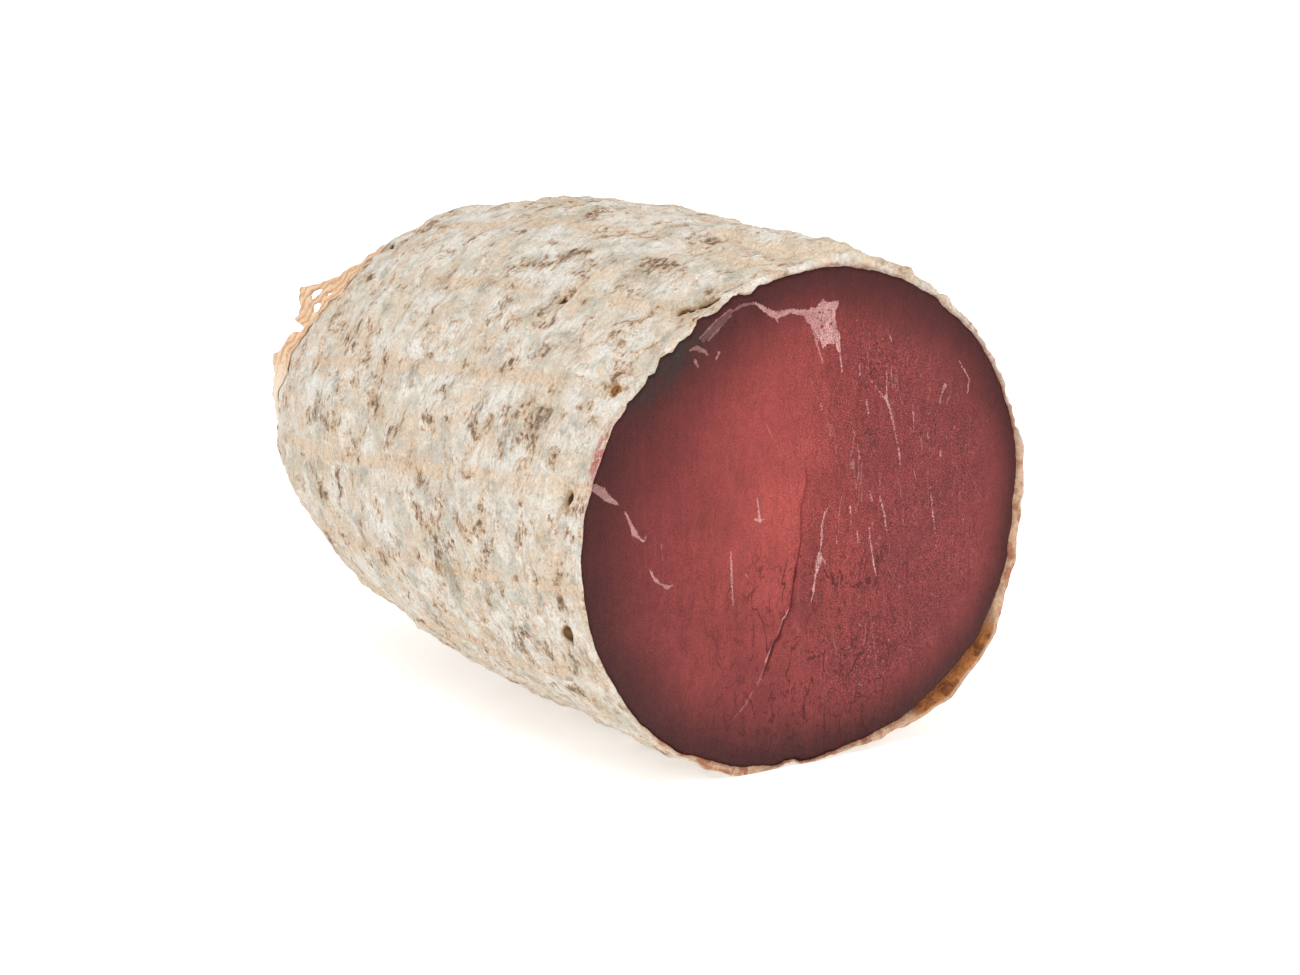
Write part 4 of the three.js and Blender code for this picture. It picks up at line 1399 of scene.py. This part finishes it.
        # Slivers that span the hollows of the outline aren't part of the face.
        kept = np.max(faces, axis=1) >= count
        middles = flat[np.array(faces)].mean(axis=1)
        kept[~kept] = outline_depth(middles[~kept], outline) > 0.0
        faces = [face for face, keep in zip(faces, kept) if keep]
        edge_depth = outline_depth(flat, outline)
        values = self._paint(flat, edge_depth)
        points = np.stack([flat[:, 0], self._height(flat, edge_depth, values), flat[:, 1]], axis=1)
        # The side and the back close the piece behind the face.
        start = len(points)
        rim = np.arange(count)
        shrink = 1.0 - self.inset / self.form.half_width
        side = np.stack([outline[:, 0] * shrink, np.full(count, self.thickness),
                         outline[:, 1] * shrink], axis=1)
        middle = np.array([[0.0, self.thickness, 0.0]])
        points = np.concatenate([points, side, middle])
        after = (rim + 1) % count
        walls = [[int(b), int(a), start + int(a), start + int(b)] for a, b in zip(rim, after)]
        back = [[start + int(b), start + int(a), start + count] for a, b in zip(rim, after)]
        turned = [face if self._faces_out(flat, face) else face[::-1] for face in faces]
        faces = turned + walls + back
        for label, numbers in values.items():
            usual = 1.0 if label == "crust" else 0.0
            values[label] = np.concatenate([numbers, np.full(count + 1, usual)])
        return make_piece("cut_meat", self.frame.to_world(points), faces, values)

    @staticmethod
    def _faces_out(flat: Array, face: Sequence[int]) -> bool:
        """Whether a flat face looks towards -Y."""
        a, b, c = (flat[corner] for corner in face[:3])
        return (b[0] - a[0]) * (c[1] - a[1]) - (b[1] - a[1]) * (c[0] - a[0]) > 0

    def _height(
        self, flat: Array, edge: Array, values: dict[str, Array]
    ) -> Array:
        """The face's relief: how far each point lies behind the plane of the cut."""
        space = np.stack([flat[:, 0], np.zeros(len(flat)), flat[:, 1]], axis=1)
        height = self.warp.at(space) + self.fibres.at(space * np.array([1.0, 1.0, 0.3]))
        height += self.edge_drop * fall(edge, 0.0, 1.1) ** 2
        height += self.seam_depth * smoothstep(values["seam"], -0.5, 0.3)
        return height - self.fat_height * smoothstep(values["fat"], -0.2, 0.3)

    def _tone(self, flat: Array, edge: Array) -> dict[str, Array]:
        """The broad tones: the bright lobe, partly the muscle's own colour and partly a painted
        highlight, the right side under a painted sheen, and the dry dark edge.
        """
        x, z = flat[:, 0], flat[:, 1]
        angle = np.degrees(np.arctan2(z, x))
        upright = curve_through(self.highlight_lobe_pairs)(z)
        lobe_and_highlight = np.exp(-(((x - self.highlight_lobe_middle) / self.highlight_lobe_half_width) ** 2)) * upright
        seam = next(stroke.path for stroke in self.strokes if stroke.kind is Line.SEAM)
        heights, places = [point[1] for point in seam][::-1], [point[0] for point in seam][::-1]
        right = x - np.interp(z, heights, places)
        beside = stretch(right, self.strip_across) * stretch(z, self.strip_upright)
        width = curve_through(self.crust_pairs, 360.0)(angle)
        crust = np.maximum(fall(edge / width, 0.0, 1.0) ** 1.35, 0.85 * fall(edge, 0.4, 3.2))
        return {
            "lobe_and_highlight": np.clip(lobe_and_highlight - 0.28 * beside, 0.0, 1.0),
            "right_sheen": smoothstep(x, 4.0, 34.0),
            "low": fall(z, -34.0, 14.0),
            "crust": np.clip(crust + 0.12 * beside, 0.0, 1.0),
        }

    def _paint(self, flat: Array, edge: Array) -> dict[str, Array]:
        """The numbers that the meat's material reads."""
        space = np.stack([flat[:, 0], np.zeros(len(flat)), flat[:, 1]], axis=1)
        ragged = self.fraying.at(space)
        star = outline_depth(flat, np.array(self.star)) + ragged
        for x, z, radius in self.star_holes:
            hole = np.hypot(flat[:, 0] - x, flat[:, 1] - z) - radius
            star = np.minimum(star, hole - 0.5 * ragged)
        for path in self.star_cuts:
            star = np.minimum(star, 0.1 - stroke_depth(flat, path) - 0.4 * ragged)
        fat, strength = star, np.full(len(flat), 0.95)
        seam = np.full(len(flat), -2.0)
        for stroke in self.strokes:
            depth = stroke_depth(flat, stroke.path)
            if stroke.kind is Line.SEAM:
                seam = np.maximum(seam, depth)
            else:
                depth = depth + 0.35 * ragged
                strength = np.where(depth > fat, stroke.strength, strength)
                fat = np.maximum(fat, depth)
        low = fall(flat[:, 1], -14.0, -2.0)
        middle = np.exp(-(((flat[:, 0] - 2.0) / 27.0) ** 2))
        sooty = np.hypot((flat[:, 0] + 40.0) / 1.2, flat[:, 1] - 41.0)
        values = {
            "fat": np.clip(fat, -1.5, 1.5),
            "fat_strength": strength,
            "seam": np.clip(seam, -1.5, 1.5),
            "cracked": np.clip((low + 0.25) * middle, 0.0, 1.0),
            "soot": fall(sooty, 5.0, 17.0) * fall(edge, 1.0, 9.0),
            "veined": smoothstep(flat[:, 0], -12.0, 14.0) * smoothstep(edge, 5.0, 16.0),
        }
        return values | self._tone(flat, edge)


# ---- the torn net --------------------------------------------------------------------------


@dataclass(frozen=True)
class NetFinish:
    """The colours of the dry net and the casing stuck to it."""

    tan: Rgb = (209, 167, 130)
    pale: Rgb = (231, 203, 172)
    brown: Rgb = (178, 130, 96)
    cream: Rgb = (228, 211, 190)

    def dress(self, effects: Effects) -> bpy.types.Material:
        """Builds the net's material."""
        finish = Finish("torn_net", Specular_IOR_Level=0.3)
        g = finish.graph
        place = g.place()
        patches = g.effect(effects.patches, Place=place, Size=3.0, Level=0.5, Softness=0.12)
        grain = g.effect(effects.grain, Place=place, Size=0.5, Contrast=0.3)
        # Flat strands run side by side along the torn edge.
        turn = g.plus(g.times(g.value("back"), 3.4),
                      g.times(patches.outputs["Height"], 12.0))
        strand = g.plus(0.5, g.times(g.math("SINE", turn), 0.5))
        coat = Coat(g, self.tan)
        coat.over(g.window(strand, 0.1, 0.7), 0.8, self.pale)
        coat.over(g.window(strand, 0.16, 0.02), 0.4, self.brown)
        coat.over(patches.outputs["Mask"], 0.35, self.tan)
        coat.over(g.value("mouldy"), 1.0, self.cream)
        coat.shade(grain.outputs["Factor"])
        height = g.plus(g.times(strand, 0.6),
                        g.times(grain.outputs["Height"], 0.4))
        return finish.finish(coat.colour, 0.7, height, 0.3)


@dataclass
class TornNet:
    """The scrap of net and casing that stands off the round end like a torn cuff."""

    rind: Rind
    root_along: float = 157.0
    root_angle: float = 171.0
    root_bow: float = 0.0085
    lap: float = 1.8
    flare: float = 0.35
    gap: float = 0.12
    thickness: float = 0.4
    columns: int = 300
    rows: int = 22
    radius: float = 46.0
    step: float = 0.8
    torn_edge: Bumps = Bumps(61, 0.5, 1.1, 3)
    ripples: Bumps = Bumps(62, 0.25, 3.0, 3)
    edge_pairs: Pairs = (
        (121, 0.3), (124, 0.5), (126, 0.6), (128, 1.7), (130, 2.8), (132, 4.4), (134, 5.7),
        (136, 7.2), (138, 8.6), (140, 7.5), (142, 5.5), (144, 4.7), (145.6, 4.3), (146.8, 0.3),
        (148, 0.6), (149.2, 2.9), (150.5, 3.0), (152, 2.6), (154, 2.4), (156, 2.7), (158, 4.3),
        (160, 4.1), (162, 3.1), (165, 2.5), (170, 1.6), (175, 0.8), (181, 0.5),
    )
    holes: tuple[tuple[float, float, float, float], ...] = (
        (137.0, 4.1, 1.4, 1.1), (135.5, 1.3, 0.7, 0.5), (140.0, 1.5, 1.2, 1.0),
    )

    def _points(self, angle: Array, back: Array, lifted: float) -> Array:
        """Points of the sheet, a distance back from the root line."""
        form = self.rind.form
        root = self.root_along - self.root_bow * (angle - self.root_angle) ** 2
        along = root + np.minimum(back, 0.0)
        outwards = form.outwards(along, angle)
        upright = outwards * np.array([1.0, 0.0, 1.0])
        upright /= np.linalg.norm(upright, axis=-1, keepdims=True)
        standing = np.maximum(back, 0.0)[..., None]
        points = form.rind_points(along, angle, self.rind.fine_relief(along, angle))
        points = points + outwards * (self.gap + lifted) + upright * self.flare * standing
        return points + standing * np.array([0.0, 1.0, 0.0])

    def build(self) -> bpy.types.Object:
        """Builds the sheet's mesh, with its holes and its two faces."""
        first, last = self.edge_pairs[0][0], self.edge_pairs[-1][0]
        angle = np.linspace(first, last, self.columns)
        around = self.step
        space = np.stack([angle * around, 0.0 * angle, 0.0 * angle], axis=1)
        reach = curve_through(self.edge_pairs)(angle) + self.torn_edge.at(space)
        share = np.linspace(0.0, 1.0, self.rows)
        back = -self.lap + (np.maximum(reach, 0.2)[:, None] + self.lap) * share[None, :]
        angles = np.broadcast_to(angle[:, None], back.shape)
        flat = np.stack([angles * around, back, 0.0 * back], axis=-1)
        wave = self.ripples.at(flat) * smoothstep(back, 0.0, 2.0)
        lower = self._points(angles, back, 0.0)
        upper = self._points(angles, back, self.thickness)
        lower[..., 0] += wave
        upper[..., 0] += wave
        keep = self._solid_cells(angles, back)
        points, faces, used = self._close(lower, upper, keep)
        values = {
            "back": np.tile(back.ravel(), 2)[used],
            "mouldy": np.tile(smoothstep(angles, 155.0, 168.0).ravel(), 2)[used],
        }
        return make_piece("torn_net", self.rind.frame.to_world(points), faces, values)

    def _solid_cells(self, angle: Array, back: Array) -> Array:
        """Which cells of the sheet are there: not those in a hole."""
        middle_angle = (angle[1:, 1:] + angle[:-1, :-1]) / 2
        middle_back = (back[1:, 1:] + back[:-1, :-1]) / 2
        keep = np.ones(middle_angle.shape, bool)
        for hole_angle, hole_back, half_around, half_back in self.holes:
            around = np.radians(middle_angle - hole_angle) * self.radius
            keep &= (around / half_around) ** 2 + ((middle_back - hole_back) / half_back) ** 2 > 1
        return keep

    @staticmethod
    def _close(
        lower: Array, upper: Array, keep: Array
    ) -> tuple[Array, list[list[int]], list[int]]:
        """Joins two layers over the kept cells and walls every open edge between them.

        Args:
            lower: the grid of points next to the rind.
            upper: the grid of points outside.
            keep: which cells of the grid are solid.

        Returns:
            The points and the faces of a closed mesh, and the used points' grid numbers.
        """
        columns, rows = lower.shape[:2]
        points = np.concatenate([lower.reshape(-1, 3), upper.reshape(-1, 3)])
        lift = columns * rows

        def corner(column: int, row: int) -> int:
            """The number of a point of the lower layer."""
            return column * rows + row

        faces = []
        for column in range(columns - 1):
            for row in range(rows - 1):
                if not keep[column, row]:
                    continue
                a, b = corner(column, row), corner(column + 1, row)
                c, d = corner(column + 1, row + 1), corner(column, row + 1)
                faces.append([a, b, c, d])
                faces.append([d + lift, c + lift, b + lift, a + lift])
                sides = (
                    (a, b, row == 0 or not keep[column, row - 1]),
                    (b, c, column == columns - 2 or not keep[column + 1, row]),
                    (c, d, row == rows - 2 or not keep[column, row + 1]),
                    (d, a, column == 0 or not keep[column - 1, row]),
                )
                for start, end, is_open in sides:
                    if is_open:
                        faces.append([end, start, start + lift, end + lift])
        used = sorted({index for face in faces for index in face})
        renumber = {old: new for new, old in enumerate(used)}
        return points[used], [[renumber[index] for index in face] for face in faces], used


# ---- the studio ----------------------------------------------------------------------------


@dataclass
class Studio:
    """The floor, the lights and the camera."""

    azimuth: float = -33.55
    elevation: float = 13.41
    distance: float = 1000.0
    focal_pixels: float = 4372.0
    target: tuple[float, float, float] = (-4.2, 56.3, -3.1)
    room_light: float = 0.88
    key_place: tuple[float, float, float] = (-0.7, -0.7, 1.7)
    key_size: float = 0.8
    key_power: float = 13.0
    fill_place: tuple[float, float, float] = (1.1, -1.2, 0.7)
    fill_size: float = 1.0
    fill_power: float = 2.0
    floor_half: float = 6.0
    floor_paint: float = 0.9
    floor_glow: float = 0.42

    def _back(self) -> Vector:
        """The direction from the target to the camera."""
        turn, tilt = math.radians(self.azimuth), math.radians(self.elevation)
        return Vector((math.sin(turn) * math.cos(tilt), -math.cos(turn) * math.cos(tilt),
                       math.sin(tilt)))

    def set_camera(self, frame: CutFrame) -> None:
        """Places the camera at the photograph's viewing angle."""
        data = bpy.data.cameras.new("camera")
        data.sensor_width = SENSOR_WIDTH
        data.lens = self.focal_pixels / PICTURE_WIDTH * SENSOR_WIDTH
        data.clip_start = 0.01
        camera = bpy.data.objects.new("camera", data)
        bpy.context.scene.collection.objects.link(camera)
        target = Vector(frame.to_world(np.array(self.target)))
        camera.location = target + self._back() * self.distance * MM
        camera.rotation_euler = self._back().to_track_quat("Z", "Y").to_euler()
        bpy.context.scene.camera = camera

    def set_lights(self) -> None:
        """Plain soft light: a bright room, a big lamp above and a weaker one from the right."""
        scene = bpy.context.scene
        scene.view_settings.view_transform = "Standard"
        world = bpy.data.worlds.new("room")
        world.use_nodes = True
        background = world.node_tree.nodes["Background"]
        background.inputs["Color"].default_value = (1, 1, 1, 1)
        background.inputs["Strength"].default_value = self.room_light
        scene.world = world
        self._lamp("key", self.key_place, self.key_size, self.key_power)
        self._lamp("fill", self.fill_place, self.fill_size, self.fill_power)

    @staticmethod
    def _lamp(name: str, at: tuple[float, float, float], size: float, power: float) -> None:
        """Adds a square lamp that faces the piece."""
        data = bpy.data.lights.new(name, "AREA")
        data.size = size
        data.energy = power
        lamp = bpy.data.objects.new(name, data)
        lamp.location = at
        lamp.rotation_euler = Vector(at).to_track_quat("Z", "Y").to_euler()
        bpy.context.scene.collection.objects.link(lamp)

    def set_floor(self) -> None:
        """A plain pale floor, wide enough for every view."""
        half, paint = self.floor_half, self.floor_paint
        mesh = bpy.data.meshes.new("floor")
        corners = [(-half, -half, 0.0), (half, -half, 0.0), (half, half, 0.0), (-half, half, 0.0)]
        mesh.from_pydata(corners, [], [(0, 1, 2, 3)])
        floor = bpy.data.objects.new("floor", mesh)
        bpy.context.scene.collection.objects.link(floor)
        material = bpy.data.materials.new("floor")
        material.use_nodes = True
        shader = material.node_tree.nodes["Principled BSDF"]
        shader.inputs["Base Color"].default_value = (paint, paint, paint, 1.0)
        shader.inputs["Roughness"].default_value = 0.9
        shader.inputs["Emission Color"].default_value = (1.0, 1.0, 1.0, 1.0)
        shader.inputs["Emission Strength"].default_value = self.floor_glow
        mesh.materials.append(material)


# ---- putting it together -------------------------------------------------------------------


def settle(
    piece: bpy.types.Object, material: bpy.types.Material, node: str
) -> None:
    """Dresses a piece and ties it to the frame.

    Args:
        piece: the new piece.
        material: its finish.
        node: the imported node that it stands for.
    """
    piece.data.materials.append(material)
    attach(piece, "root")
    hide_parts(node)
    faces = len(piece.data.polygons)
    LOG.info("%s: %d corners, %d faces", piece.name, len(piece.data.vertices), faces)


def main() -> None:
    """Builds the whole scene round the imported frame."""
    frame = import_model()
    form = BodyForm()
    cut_frame = CutFrame(form, frame["nodes"]["bresaola"])
    studio = Studio()
    studio.set_camera(cut_frame)
    studio.set_lights()
    studio.set_floor()
    effects = Effects()
    rind = Rind(form, cut_frame)
    settle(rind.build(), RindFinish().dress(effects), "bresaola")
    settle(CutMeat(form, cut_frame).build(), MeatFinish().dress(effects), "bresaola")
    settle(TornNet(rind).build(), NetFinish().dress(effects), "net_cuff")


if __name__ == "__main__":
    logging.basicConfig(level=logging.INFO, format="%(name)s: %(message)s")
    main()
